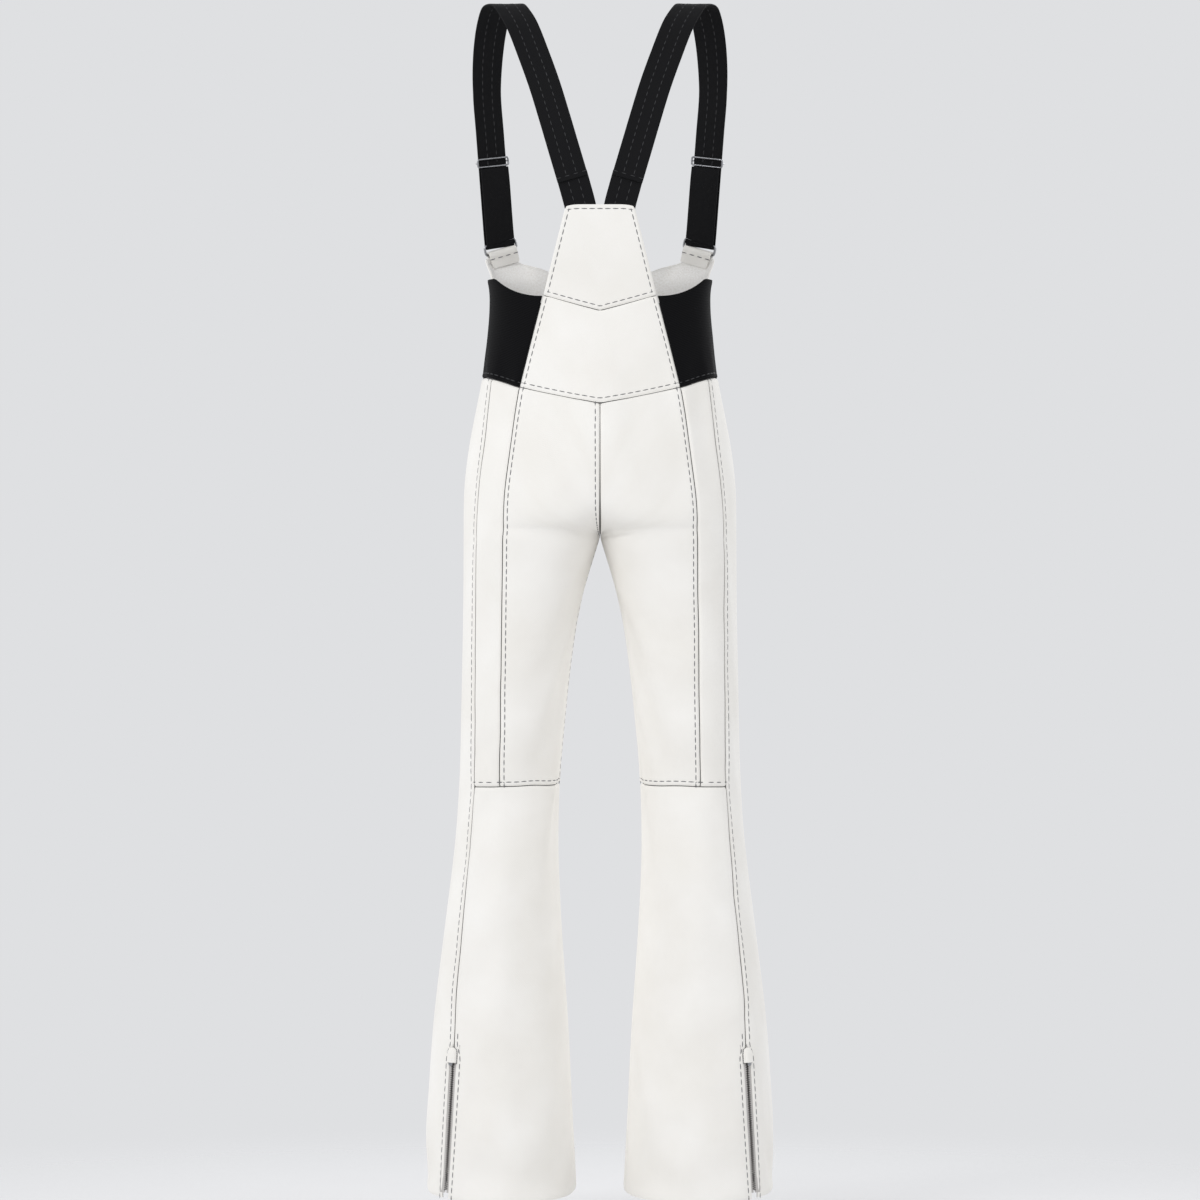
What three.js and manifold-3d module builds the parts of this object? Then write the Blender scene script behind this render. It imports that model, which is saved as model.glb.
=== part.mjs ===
// Women's bib ski pants: a slim softshell with flared hems, hung from its two shoulder straps.
//
// Millimetres, +Z up. +X is the wearer's right and +Y the wearer's front. Sizes are written as
// heights above the lowest point of the hems, the way a size chart gives them, and the whole
// garment then hangs so that z = 0 is the underside of the strap crowns.
// The right half is drafted, and the left half is the same pieces in a mirrored group.
import * as THREE from "three";
import { mergeVertices } from "three/addons/utils/BufferGeometryUtils.js";
import Module from "manifold-3d";

// ---- Driving dimensions ----
const CROTCH = 807; // height of the crotch point
const STRAP_CROWN = 1454.5; // height of the underside of the straps over the shoulders
const CLOTH = 3; // bonded softshell
const SEAM_GAP = 1.2; // between neighbouring panels
const HIP_TOP = 797; // where the pelvis ends and the folding hip begins
const HIP_BOTTOM = 677;
const KNEE_SEAM = 505;
const KNEE_BOTTOM = 375;

const STRAP_WIDTH = 38;
const STRAP_THICKNESS = 2;
const RING = { width: 46, height: 15, wire: 3, corner: 5 };
const ADJUSTER = { width: 44, height: 12, aboveRing: 98 };

const ZIP_SLOT = 6.8; // half the opening between two panels that a zip closes
const ZIP_CHAIN = { inner: 0.8, outer: 4.7, tooth: 2.3, thick: 1.2 };
const SLIDER = { half: 4.2, long: 10, plate: 1.1, bridge: 0.5 };
const PULL_LENGTH = { hem: 13, pocket: 26, front: 28 };

const YOKE_HEAD = 1206.6;
const YOKE_CORNER = 5; // how far the yoke's top corners are rounded down
const YOKE_V = { middle: 1078.5, ends: 1096.8 }; // the seam below the yoke
const WAIST_V = { middle: 966, ends: 987 }; // the seam below the waist panel
const HEM_RISE = 15; // the hem dips from its front and back to its corners

// ---- Size chart: [height, size] ----
const OUTSEAM = [
  [0, 213], [17, 214], [106, 214], [216, 207.4], [325, 194.6], [435, 181], [509, 175.7],
  [582, 174], [728, 171.5], [807, 171], [865, 170], [911, 165], [960, 156], [1010, 145.5],
  [1045, 138.5], [1095, 135], [1119, 138], [1150, 150], [1210, 158],
];
const INSEAM = [
  [0, 28], [106, 33.6], [216, 39], [325, 46.4], [420, 50.6], [509, 49], [582, 43], [655, 35],
  [728, 23], [807, 0],
];
// How far the two legs still stand apart inside the trunk, from 1 at the crotch to 0 at the waist.
const LEG_SPLIT = [
  [807, 1], [816, 0.82], [828, 0.58], [843, 0.36], [862, 0.22], [890, 0.12], [930, 0.05],
  [985, 0], [1210, 0],
];
const BACK = [
  [0, -105], [17, -104], [106, -98], [216, -90], [325, -86], [400, -83], [460, -76], [509, -73],
  [582, -84], [655, -92], [728, -99], [807, -114], [840, -126], [880, -130], [920, -126],
  [960, -117], [1045, -101], [1095, -97], [1149, -102], [1210, -108],
];
const FRONT = [
  [0, 84], [106, 76], [216, 70], [325, 68], [400, 70], [470, 76], [530, 80], [655, 86],
  [728, 90], [807, 96], [850, 101], [900, 103.5], [1000, 103.5], [1110, 102.5], [1210, 102],
];
const SQUARENESS = [
  [0, 2.1], [650, 2.1], [807, 2.2], [920, 2.4], [1045, 2.7], [1110, 3], [1150, 3.6], [1210, 3.6],
];

// Seams on the right half: [height, distance from the centre line].
const YOKE_SIDE = [[987, 98], [1040, 84.5], [1097, 69.5], [1150, 56], [1207, 41.5]];
const PRINCESS_BACK = [
  [490, 121], [545, 122], [618, 120.8], [728, 119.6], [801, 118.5], [850, 117], [899, 112],
  [948, 105], [987, 98],
];
const SIDE_BACK = [
  [190, 177.4], [252, 175.2], [326, 168.4], [399, 162], [472, 156.5], [545, 153.7], [655, 152.5],
  [801, 151.3], [875, 147.6], [923, 141.5], [1000, 132],
];
const HEM_ZIP = { foot: 10, head: 190, footX: 187.6, headX: 177.4 };
const SIDE_FRONT = [
  [0, 188], [190, 176], [325, 165], [435, 156], [509, 152], [655, 147], [760, 146], [820, 146],
  [950, 139.5], [990, 136.5], [1045, 131], [1095, 130], [1119, 134], [1140, 138.5], [1165, 140],
];
const POCKET_ZIP = { foot: 825, head: 950 };
const FRONT_ZIP = { foot: 880, head: 1118 };

// ---- Curves and the skin of the garment ----

// A smooth curve through the points of a size chart, straight on past either end.
function curve(points) {
  const slope = (i, j) => (points[j][1] - points[i][1]) / (points[j][0] - points[i][0]);
  const last = points.length - 1;
  const tangents = points.map((_, i) => slope(Math.max(i - 1, 0), Math.min(i + 1, last)));
  return (h) => {
    if (h <= points[0][0]) return points[0][1] + tangents[0] * (h - points[0][0]);
    if (h >= points[last][0]) return points[last][1] + tangents[last] * (h - points[last][0]);
    const i = points.findIndex((p) => p[0] > h) - 1;
    const step = points[i + 1][0] - points[i][0];
    const s = (h - points[i][0]) / step;
    const rise = points[i + 1][1] - points[i][1];
    return (
      points[i][1] + rise * s * s * (3 - 2 * s) +
      step * s * (1 - s) * (tangents[i] * (1 - s) - tangents[i + 1] * s)
    );
  };
}

const outseam = curve(OUTSEAM);
const inseam = curve(INSEAM);
const legSplit = curve(LEG_SPLIT);
const back = curve(BACK);
const front = curve(FRONT);
const squareness = curve(SQUARENESS);

// The section of the right half at a height: a superellipse about xc, cut at x = 0 above the crotch.
function section(h) {
  const out = outseam(h);
  const ratio =
    h < CROTCH ? (out + inseam(h)) / (out - inseam(h)) : THREE.MathUtils.clamp(legSplit(h), 0, 1);
  const a = out / (1 + ratio);
  const n = squareness(h);
  const turn = ratio >= 1 ? Math.PI : Math.acos(-Math.pow(ratio, n / 2));
  return {
    xc: ratio * a,
    a,
    yc: (front(h) + back(h)) / 2,
    b: (front(h) - back(h)) / 2,
    n,
    turn,
  };
}

const power = (v, p) => Math.sign(v) * Math.pow(Math.abs(v), p);

// t runs round the half: -1 at the centre back or inseam, 0 at the side, 1 at the front.
function skin(t, h) {
  const s = section(h);
  const angle = t * s.turn;
  const x = s.xc + s.a * power(Math.cos(angle), 2 / s.n);
  const y = s.yc + s.b * power(Math.sin(angle), 2 / s.n);
  return new THREE.Vector3(h >= CROTCH ? Math.max(x, 0) : x, y, h);
}

function outward(t, h) {
  const e = 0.004;
  const round = skin(Math.min(t + e, 1), h).sub(skin(Math.max(t - e, -1), h));
  const up = skin(t, h + 1).sub(skin(t, h - 1));
  return round.cross(up).normalize();
}

// Where a seam at a distance x from the centre lies on the back (side -1) or front (side 1).
function tAt(h, x, side) {
  const s = section(h);
  const q = THREE.MathUtils.clamp((x - s.xc) / s.a, -1, 1);
  return (side * Math.acos(power(q, s.n / 2))) / s.turn;
}

const yokeSide = curve(YOKE_SIDE);
const princessBack = curve(PRINCESS_BACK);
const sideBack = curve(SIDE_BACK);
const sideFront = curve(SIDE_FRONT);

const hemZipX = (h) =>
  THREE.MathUtils.mapLinear(h, HEM_ZIP.foot, HEM_ZIP.head, HEM_ZIP.footX, HEM_ZIP.headX);
const sideFrontX = (h) => {
  const { foot, head } = POCKET_ZIP;
  return h > foot && h < head
    ? THREE.MathUtils.mapLinear(h, foot, head, sideFront(foot), sideFront(head))
    : sideFront(h);
};

// The seams as t at a height, in order round the right half.
const seams = {
  centreBack: () => -1,
  princess: (h) => tAt(h, h > WAIST_V.ends ? yokeSide(h) : princessBack(h), -1),
  back: (h) => tAt(h, h < HEM_ZIP.head ? hemZipX(h) : sideBack(h), -1),
  front: (h) => tAt(h, sideFrontX(h), 1),
  centreFront: () => 1,
};

// ---- Solids ----

// A closed body from a grid of outer points and a grid of inner points, turned to face out.
function slab(outer, inner, closedRound = false) {
  const rows = outer.length;
  const columns = outer[0].length;
  const points = [...outer.flat(), ...inner.flat()];
  const at = (layer, i, j) => layer * rows * columns + i * columns + (j % columns);
  const faces = [];
  const quad = (p, q, r, s) => faces.push(p, q, r, p, r, s);
  const around = closedRound ? columns : columns - 1;
  for (let i = 0; i < rows - 1; i++)
    for (let j = 0; j < around; j++) {
      quad(at(0, i, j), at(0, i, j + 1), at(0, i + 1, j + 1), at(0, i + 1, j));
      quad(at(1, i, j), at(1, i + 1, j), at(1, i + 1, j + 1), at(1, i, j + 1));
    }
  for (let j = 0; j < around; j++) {
    quad(at(0, 0, j), at(1, 0, j), at(1, 0, j + 1), at(0, 0, j + 1));
    const top = rows - 1;
    quad(at(0, top, j), at(0, top, j + 1), at(1, top, j + 1), at(1, top, j));
  }
  if (!closedRound)
    for (let i = 0; i < rows - 1; i++) {
      const end = columns - 1;
      quad(at(0, i, 0), at(0, i + 1, 0), at(1, i + 1, 0), at(1, i, 0));
      quad(at(0, i, end), at(1, i, end), at(1, i + 1, end), at(0, i + 1, end));
    }
  return faceOut(points, faces);
}

function faceOut(points, faces) {
  let volume = 0;
  for (let i = 0; i < faces.length; i += 3) {
    const [p, q, r] = [0, 1, 2].map((k) => points[faces[i + k]]);
    volume += p.dot(q.clone().cross(r));
  }
  if (volume < 0)
    for (let i = 0; i < faces.length; i += 3)
      [faces[i], faces[i + 1]] = [faces[i + 1], faces[i]];
  return new THREE.BufferGeometry().setFromPoints(points).setIndex(faces);
}

const inset = (t, h, depth) => skin(t, h).addScaledVector(outward(t, h), -depth);

// Millimetres of cloth for each unit of t.
function speed(t, h) {
  const e = 0.01;
  return skin(t > 0 ? t - e : t + e, h).distanceTo(skin(t, h)) / e;
}

// A shell panel between two seams. foot and head are heights as functions of the share u of the
// way across, because the yoke, waist and hem seams curve. The rows between them lie at the given
// levels, or share out the height where spread is true.
function panel({ left, right, foot, head, columns, levels, spread, leftGap, rightGap }) {
  const halfGap = () => SEAM_GAP / 2;
  const gapLeft = leftGap || halfGap;
  const gapRight = rightGap || halfGap;
  const low = levels[0];
  const high = levels[levels.length - 1];
  const heightAt = (level, u) => {
    if (spread || level === low || level === high)
      return THREE.MathUtils.mapLinear(level, low, high, foot(u) + halfGap(), head(u) - halfGap());
    return level;
  };
  const grid = (inward) =>
    levels.map((level) =>
      Array.from({ length: columns + 1 }, (_, j) => {
        const u = j / columns;
        const h = heightAt(level, u);
        const start = left(h) + gapLeft(h) / speed(left(h), h);
        const end = right(h) - gapRight(h) / speed(right(h), h);
        return inset(THREE.MathUtils.lerp(start, end, u), h, inward);
      }),
    );
  return slab(grid(0), grid(CLOTH));
}

// A closed tube that follows the leg.
function legTube(levels, columns, outerAt, thicknessAt) {
  const grid = (depthAt) =>
    levels.map((h) =>
      Array.from({ length: columns }, (_, j) => inset((2 * j) / columns - 1, h, depthAt(h))),
    );
  return slab(grid(outerAt), grid((h) => outerAt(h) + thicknessAt(h)), true);
}

// A flat ribbon along points, with its face normal at each of them.
function ribbon(points, normals, width, thickness) {
  const rows = (out) =>
    points.map((p, i) => {
      const ahead = points[Math.min(i + 1, points.length - 1)];
      const behind = points[Math.max(i - 1, 0)];
      const across = new THREE.Vector3().crossVectors(
        normals[i],
        ahead.clone().sub(behind),
      );
      across.normalize();
      return [-1, 1].map((side) =>
        p.clone().addScaledVector(across, (side * width) / 2).addScaledVector(normals[i], out),
      );
    });
  return slab(rows(thickness / 2), rows(-thickness / 2));
}

const wasm = await Module();
wasm.setup();

function solidOf(geometry) {
  const bare = geometry.index ? geometry.toNonIndexed() : geometry.clone();
  for (const name of ["normal", "uv"]) bare.deleteAttribute(name);
  const merged = mergeVertices(bare);
  return new wasm.Manifold(
    new wasm.Mesh({
      numProp: 3,
      vertProperties: merged.attributes.position.array,
      triVerts: new Uint32Array(merged.index.array),
    }),
  );
}

function geometryOf(solid) {
  const mesh = solid.getMesh();
  return new THREE.BufferGeometry()
    .setAttribute("position", new THREE.BufferAttribute(mesh.vertProperties, mesh.numProp))
    .setIndex(new THREE.BufferAttribute(mesh.triVerts, 1));
}

const join = (...geometries) =>
  geometryOf(geometries.map(solidOf).reduce((whole, next) => whole.add(next)));
const cut = (geometry, ...tools) =>
  geometryOf(tools.map(solidOf).reduce((whole, tool) => whole.subtract(tool), solidOf(geometry)));

// A box given by its limits along x, y and z.
function block([x0, x1], [y0, y1], [z0, z1]) {
  return new THREE.BoxGeometry(x1 - x0, y1 - y0, z1 - z0).translate(
    (x0 + x1) / 2,
    (y0 + y1) / 2,
    (z0 + z1) / 2,
  );
}

// ---- Materials ----
const finish = (color, roughness, metalness = 0) =>
  new THREE.MeshStandardMaterial({ color, roughness, metalness });
const shell = () => finish(0xf6f4f0, 0.85);
const stretch = () => finish(0x131314, 0.9);
const webbing = () => finish(0x0e0e0f, 0.8);
const metal = () => finish(0xb8babd, 0.3, 1);
const chain = () => finish(0x959391, 0.6);
const lining = () => finish(0xe4e2de, 0.9);

// ---- Assembly ----
const garment = new THREE.Group();
garment.position.z = -STRAP_CROWN;
const rightHalf = new THREE.Group();
const leftHalf = new THREE.Group();
leftHalf.scale.x = -1;
garment.add(rightHalf, leftHalf);

function named(name, geometry, material) {
  const mesh = new THREE.Mesh(geometry, material);
  mesh.name = name;
  return mesh;
}

// Adds a piece to both halves. place is the group inside each half that holds it, if any.
function pair(name, geometry, material, place = null) {
  for (const [half, side] of [[rightHalf, "right"], [leftHalf, "left"]]) {
    const mesh = named(`${name}_${side}`, geometry, material());
    if (place) mesh.applyMatrix4(place);
    half.add(mesh);
  }
}

// ---- Panels of the trunk ----
const flat = (height) => () => height;
const HIP_LEVELS = [
  797, 802, 807, 811, 817, 825, 832, 842, 856, 872, 880, 905, 930, 950, 958, 987,
];
const BIB_LEVELS = [978, 1000, 1022, 1045, 1070, 1095, 1119];
const ZIP_EASE = 8; // height over which a seam opens to the zip's slot

// The half gap beside a seam that holds a zip between two heights.
const slot = (foot, head) => (h) => {
  const inside = Math.min(h - foot + ZIP_EASE, head + ZIP_EASE - h) / ZIP_EASE;
  return THREE.MathUtils.lerp(SEAM_GAP / 2, ZIP_SLOT, THREE.MathUtils.clamp(inside, 0, 1));
};
const pocketSlot = slot(POCKET_ZIP.foot, POCKET_ZIP.head);
const frontSlot = slot(FRONT_ZIP.foot, Infinity);
const hemSlot = slot(-Infinity, HEM_ZIP.head);

// The height of a V seam at a share of the way out from its middle.
const vSeam = ({ middle, ends }, share) => THREE.MathUtils.lerp(middle, ends, Math.abs(share));

// The two centre panels of the back run from side to side, as a signed share of the way.
function centrePanel(foot, head, levels) {
  const columns = 8;
  const grid = (depth) =>
    levels.map((level) => {
      const v = (level - levels[0]) / (levels[levels.length - 1] - levels[0]);
      return Array.from({ length: columns + 1 }, (_, j) => {
        const share = (2 * j) / columns - 1;
        const h = THREE.MathUtils.lerp(foot(share), head(share), v);
        const x = (yokeSide(h) - SEAM_GAP / 2) * Math.abs(share);
        const point = inset(tAt(h, x, -1), h, depth);
        point.x = share === 0 ? 0 : point.x * Math.sign(share);
        return point;
      });
    });
  return slab(grid(0), grid(CLOTH));
}

garment.add(
  named(
    "back_yoke",
    centrePanel(
      (share) => vSeam(YOKE_V, share) + SEAM_GAP / 2,
      (share) => YOKE_HEAD - YOKE_CORNER * Math.pow(Math.abs(share), 6),
      [1078, 1100, 1135, 1170, 1207],
    ),
    shell(),
  ),
  named(
    "back_waist_panel",
    centrePanel(
      (share) => vSeam(WAIST_V, share) + SEAM_GAP / 2,
      (share) => vSeam(YOKE_V, share) - SEAM_GAP / 2,
      [966, 994, 1022, 1050, 1078],
    ),
    shell(),
  ),
);

// A level edge as a height for a share of the way between two seams. level gives it by t, and near
// is a height close to the edge, where the two seams are read.
const edge = (left, right, near, level) => (u) =>
  level(THREE.MathUtils.lerp(left(near), right(near), u));

const waistLevel = curve([
  [-1, WAIST_V.middle], [-0.66, WAIST_V.ends], [-0.25, 995], [0.1, 994], [0.45, 982], [1, 978],
]);
const waist = (left, right) => edge(left, right, WAIST_V.ends, waistLevel);

// The stretch side panel's top edge dips from the yoke and rises over the side to the front bib.
const STRETCH_HEAD = { back: 1097, rise: 22, riseOver: 0.52, bend: 1.6 };
const stretchHead = (u) => {
  const { back: low, rise, riseOver, bend } = STRETCH_HEAD;
  return low + rise * Math.pow(Math.min(u / riseOver, 1), bend);
};
pair(
  "side_stretch_panel",
  panel({
    left: seams.princess, right: seams.front, foot: waist(seams.princess, seams.front),
    head: stretchHead, columns: 12, levels: BIB_LEVELS, spread: true,
  }),
  stretch,
);

// The front bib rises from the centre zip along the neckline to the tab that holds the ring.
const neckline = curve([
  [0, 1118], [0.25, 1138], [0.5, 1149], [0.58, 1160], [0.7, 1163], [0.84, 1162], [1, 1154],
]);
pair(
  "front_bib",
  panel({
    left: seams.front, right: seams.centreFront, foot: waist(seams.front, seams.centreFront),
    head: (u) => neckline(1 - u), columns: 12, levels: [978, 1010, 1045, 1080, 1110, 1135],
    spread: true, rightGap: frontSlot,
  }),
  shell,
);

const backFoot = flat(HIP_TOP);
pair(
  "seat",
  panel({
    left: seams.centreBack, right: seams.princess, foot: backFoot,
    head: (u) => vSeam(WAIST_V, u), columns: 5, levels: HIP_LEVELS,
  }),
  shell,
);
pair(
  "back_strip_hip",
  panel({
    left: seams.princess, right: seams.back, foot: backFoot,
    head: waist(seams.princess, seams.back),
    columns: 3, levels: HIP_LEVELS,
  }),
  shell,
);
pair(
  "side_hip",
  panel({
    left: seams.back, right: seams.front, foot: backFoot,
    head: waist(seams.back, seams.front), columns: 8, levels: HIP_LEVELS,
    rightGap: pocketSlot,
  }),
  shell,
);
pair(
  "front_hip",
  panel({
    left: seams.front, right: seams.centreFront, foot: backFoot,
    head: waist(seams.front, seams.centreFront),
    columns: 8, levels: HIP_LEVELS, leftGap: pocketSlot, rightGap: frontSlot,
  }),
  shell,
);

// ---- Legs ----
const LEG_COLUMNS = 28;
const cloth = () => CLOTH;
const fold = (foot, head) =>
  legTube([foot, (foot + head) / 2, head], LEG_COLUMNS, flat(0), cloth);
pair("hip_fold", fold(HIP_BOTTOM + SEAM_GAP / 2, HIP_TOP - SEAM_GAP / 2), shell);
pair("knee_fold", fold(KNEE_BOTTOM + SEAM_GAP / 2, KNEE_SEAM - SEAM_GAP / 2), shell);

const THIGH_LEVELS = [505, 545, 590, 635, 677];
const thigh = { foot: flat(KNEE_SEAM), head: flat(HIP_BOTTOM), levels: THIGH_LEVELS };
pair(
  "back_thigh",
  panel({ ...thigh, left: seams.centreBack, right: seams.princess, columns: 6 }),
  shell,
);
pair(
  "back_strip_thigh",
  panel({ ...thigh, left: seams.princess, right: seams.back, columns: 2 }),
  shell,
);
pair(
  "side_thigh",
  panel({ ...thigh, left: seams.back, right: seams.front, columns: 6 }),
  shell,
);
pair(
  "front_thigh",
  panel({ ...thigh, left: seams.front, right: seams.centreFront, columns: 8 }),
  shell,
);

// The hem's corners lie on the outseam and the inseam.
const hemFoot = (t) => HEM_RISE * Math.pow(Math.abs(2 * Math.abs(t + 0.02) - 1), 2.5);
const SHIN_LEVELS = [0, 40, 80, 115, 150, 190, 198, 260, 320, 375];
const shin = { head: flat(KNEE_BOTTOM), levels: SHIN_LEVELS };
const hem = (left, right) => edge(left, right, HEM_RISE, hemFoot);
pair(
  "back_shin",
  panel({
    ...shin, left: seams.centreBack, right: seams.back, foot: hem(seams.centreBack, seams.back),
    columns: 9, rightGap: hemSlot,
  }),
  shell,
);
pair(
  "side_shin",
  panel({
    ...shin, left: seams.back, right: seams.front, foot: hem(seams.back, seams.front),
    columns: 7, leftGap: hemSlot,
  }),
  shell,
);
pair(
  "front_shin",
  panel({
    ...shin, left: seams.front, right: seams.centreFront,
    foot: hem(seams.front, seams.centreFront), columns: 8,
  }),
  shell,
);

// The gaiter inside the hem is a loose cuff that ends in an elastic band.
const GAITER = { foot: 30, bandTop: 56, head: 172, cloth: 1.2, band: 3, insetFoot: 24, insetHead: 10 };
pair(
  "boot_gaiter",
  legTube(
    [GAITER.foot, GAITER.bandTop, GAITER.bandTop + 2, 110, GAITER.head],
    24,
    (h) =>
      THREE.MathUtils.mapLinear(h, GAITER.foot, GAITER.head, GAITER.insetFoot, GAITER.insetHead),
    (h) => (h <= GAITER.bandTop ? GAITER.band : GAITER.cloth),
  ),
  lining,
);

// ---- Shoulder straps, rings and adjusters ----

// The ring hangs in front of the bib tab, and the strap above it lies outside the return layer.
const strapLow = new THREE.Vector3(124.6, 90, 1172); // the middle of the ring's upper edge
const strapHigh = new THREE.Vector3(138, 66, 1352);
const strapUp = strapHigh.clone().sub(strapLow).normalize();
const tabTurn = THREE.MathUtils.degToRad(-27); // the tab faces a little outwards
const strapAcross = new THREE.Vector3(Math.cos(tabTurn), Math.sin(tabTurn), 0);
strapAcross.addScaledVector(strapUp, -strapAcross.dot(strapUp)).normalize();
const strapOut = new THREE.Vector3().crossVectors(strapUp, strapAcross).negate();
if (strapOut.y < 0) strapOut.negate();
const LAYER = 3.2; // each strap layer's distance from the middle of the ring's wire

const CROWN_TOP = STRAP_CROWN + STRAP_THICKNESS / 2;
const strapMiddle = new THREE.CatmullRomCurve3(
  [
    [24, -110.5, 1207.8], [34, -109, 1241], [45, -104, 1278], [55.5, -95, 1314], [67, -83, 1352],
    [80, -69, 1389], [95, -49, 1428], [107, -27, 1449],
  ].map((p) => new THREE.Vector3(...p)),
);
const crownPoints = [
  [113, -12, CROWN_TOP], [122, 12, CROWN_TOP],
].map((p) => new THREE.Vector3(...p));
const strapFront = new THREE.CatmullRomCurve3(
  [[128, 27, 1449], [134.5, 46, 1425], [138.6, 59.5, 1389]].map((p) => new THREE.Vector3(...p)),
);
const strapPoints = [
  ...strapMiddle.getPoints(12),
  ...crownPoints,
  ...strapFront.getPoints(4),
  ...[0, 0.33, 0.66, 1].map((s) =>
    strapHigh.clone().lerp(strapLow, s).addScaledVector(strapOut, LAYER),
  ),
];

// The strap faces back at the yoke, up over the shoulder and forwards down to the ring.
function strapNormal(i) {
  const p = strapPoints[i];
  if (crownPoints.includes(p)) return new THREE.Vector3(0, 0, 1);
  const along = strapPoints[Math.min(i + 1, strapPoints.length - 1)]
    .clone()
    .sub(strapPoints[Math.max(i - 1, 0)]);
  const turned = p.y < 0 ? 1 : THREE.MathUtils.clamp((CROWN_TOP - p.z) / 100, 0, 1);
  const wide = new THREE.Vector3(1, 0, 0);
  if (p.y > 0) wide.lerp(new THREE.Vector3(Math.cos(tabTurn), Math.sin(tabTurn), 0), turned);
  return wide.cross(along).normalize();
}
pair(
  "shoulder_strap",
  ribbon(strapPoints, strapPoints.map((_, i) => strapNormal(i)), STRAP_WIDTH, STRAP_THICKNESS),
  webbing,
);

// The local frame of the straight stretch: x across the strap, y up it, z out of it.
const strapPlace = (origin) =>
  new THREE.Matrix4().makeBasis(strapAcross, strapUp, strapOut).setPosition(origin);

const halfStrap = STRAP_WIDTH / 2;
const halfLayer = STRAP_THICKNESS / 2;
const returnTop = ADJUSTER.aboveRing - ADJUSTER.height / 2 - 1;
pair(
  "strap_return",
  block([-halfStrap, halfStrap], [1.5, returnTop], [-LAYER - halfLayer, -LAYER + halfLayer]),
  webbing,
  strapPlace(strapLow),
);

// Two bars behind the strap and one in front of it, joined at both ends past the strap's edges.
const BAR = { high: 2.4, deep: 2.2, clear: 0.5 };
const railEnd = ADJUSTER.width / 2;
const barAt = (y, z) =>
  block([-railEnd, railEnd], [y - BAR.high / 2, y + BAR.high / 2], [z - BAR.deep / 2, z + BAR.deep / 2]);
const behindStrap = LAYER - halfLayer - BAR.clear - BAR.deep / 2;
const beforeStrap = LAYER + halfLayer + BAR.clear + BAR.deep / 2;
const rail = (side) =>
  block(
    side > 0 ? [railEnd - BAR.deep, railEnd] : [-railEnd, BAR.deep - railEnd],
    [-ADJUSTER.height / 2, ADJUSTER.height / 2],
    [behindStrap - BAR.deep / 2, beforeStrap + BAR.deep / 2],
  );
pair(
  "strap_adjuster",
  join(
    rail(-1),
    rail(1),
    barAt(BAR.high / 2 - ADJUSTER.height / 2, behindStrap),
    barAt(ADJUSTER.height / 2 - BAR.high / 2, behindStrap),
    barAt(0, beforeStrap),
  ),
  metal,
  strapPlace(strapLow.clone().addScaledVector(strapUp, ADJUSTER.aboveRing)),
);

// The ring lies in line with the strap, whose loop goes over its upper bar, and the bib's tab
// goes over its lower one.
function roundedRectangle(path, width, height, radius) {
  const [w, h] = [width / 2, height / 2];
  path.moveTo(-w + radius, -h);
  path.lineTo(w - radius, -h);
  path.absarc(w - radius, -h + radius, radius, -Math.PI / 2, 0);
  path.lineTo(w, h - radius);
  path.absarc(w - radius, h - radius, radius, 0, Math.PI / 2);
  path.lineTo(-w + radius, h);
  path.absarc(-w + radius, h - radius, radius, Math.PI / 2, Math.PI);
  path.lineTo(-w, -h + radius);
  path.absarc(-w + radius, -h + radius, radius, Math.PI, 1.5 * Math.PI);
  return path;
}
const ringShape = roundedRectangle(new THREE.Shape(), RING.width, RING.height, RING.corner);
const opening = [RING.width - 2 * RING.wire, RING.height - 2 * RING.wire, RING.corner - RING.wire];
ringShape.holes.push(roundedRectangle(new THREE.Path(), ...opening));
const ringGeometry = new THREE.ExtrudeGeometry(ringShape, {
  depth: RING.wire,
  bevelEnabled: false,
  curveSegments: 3,
}).translate(0, RING.height / 2, -RING.wire / 2);
const RING_SLANT = THREE.MathUtils.degToRad(9); // its outer end hangs lower than the strap's
const ringAcross = strapAcross.clone().applyAxisAngle(strapOut, RING_SLANT);
const ringUp = strapUp.clone().applyAxisAngle(strapOut, RING_SLANT);
const ringPlace = new THREE.Matrix4()
  .makeBasis(ringAcross, ringUp, new THREE.Vector3().crossVectors(ringAcross, ringUp))
  .setPosition(strapLow.clone().addScaledVector(ringUp, -RING.height));
pair("strap_ring", ringGeometry, metal, ringPlace);

// ---- Zips: x across the chain, y up it, z out of the cloth ----

function zipPlace(foot, head, out) {
  const up = head.clone().sub(foot).normalize();
  const wide = new THREE.Vector3().crossVectors(up, out).normalize();
  const face = new THREE.Vector3().crossVectors(wide, up);
  return new THREE.Matrix4().makeBasis(wide, up, face).setPosition(foot);
}

// Two tapes with their teeth, one each side of the run of the slider, joined by the end stops.
function zipChain(length, stops) {
  const { inner, outer, tooth, thick } = ZIP_CHAIN;
  const parts = [-1, 1].flatMap((side) => {
    const sided = (from, to) => (side > 0 ? [from, to] : [-to, -from]);
    return [
      block(sided(inner, outer), [0, length], [-2.4, -2.4 + thick]),
      block(sided(inner, tooth), [0, length], [-3, 0.2]),
    ];
  });
  const stopAt = { foot: [0, 4], head: [length - 4, length] };
  for (const end of stops) parts.push(block([-outer, outer], stopAt[end], [-2.4, -2.4 + thick]));
  return join(...parts);
}

const slider = (() => {
  const { half: wide, long, plate, bridge } = SLIDER;
  const reach = long / 2;
  return join(
    block([-wide, wide], [-reach, reach], [0.6, 0.6 + plate]),
    block([-wide, wide], [-reach, reach], [-3.4 - plate, -3.4]),
    block([-bridge, bridge], [-reach + 1, reach - 1], [-3.6, 0.8]),
    block([-0.9, 0.9], [-1.6, 1.6], [1.5, 4.8]),
  );
})();
const PULL_AXIS = 3.7; // above the cloth, through the slider's bail

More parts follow.
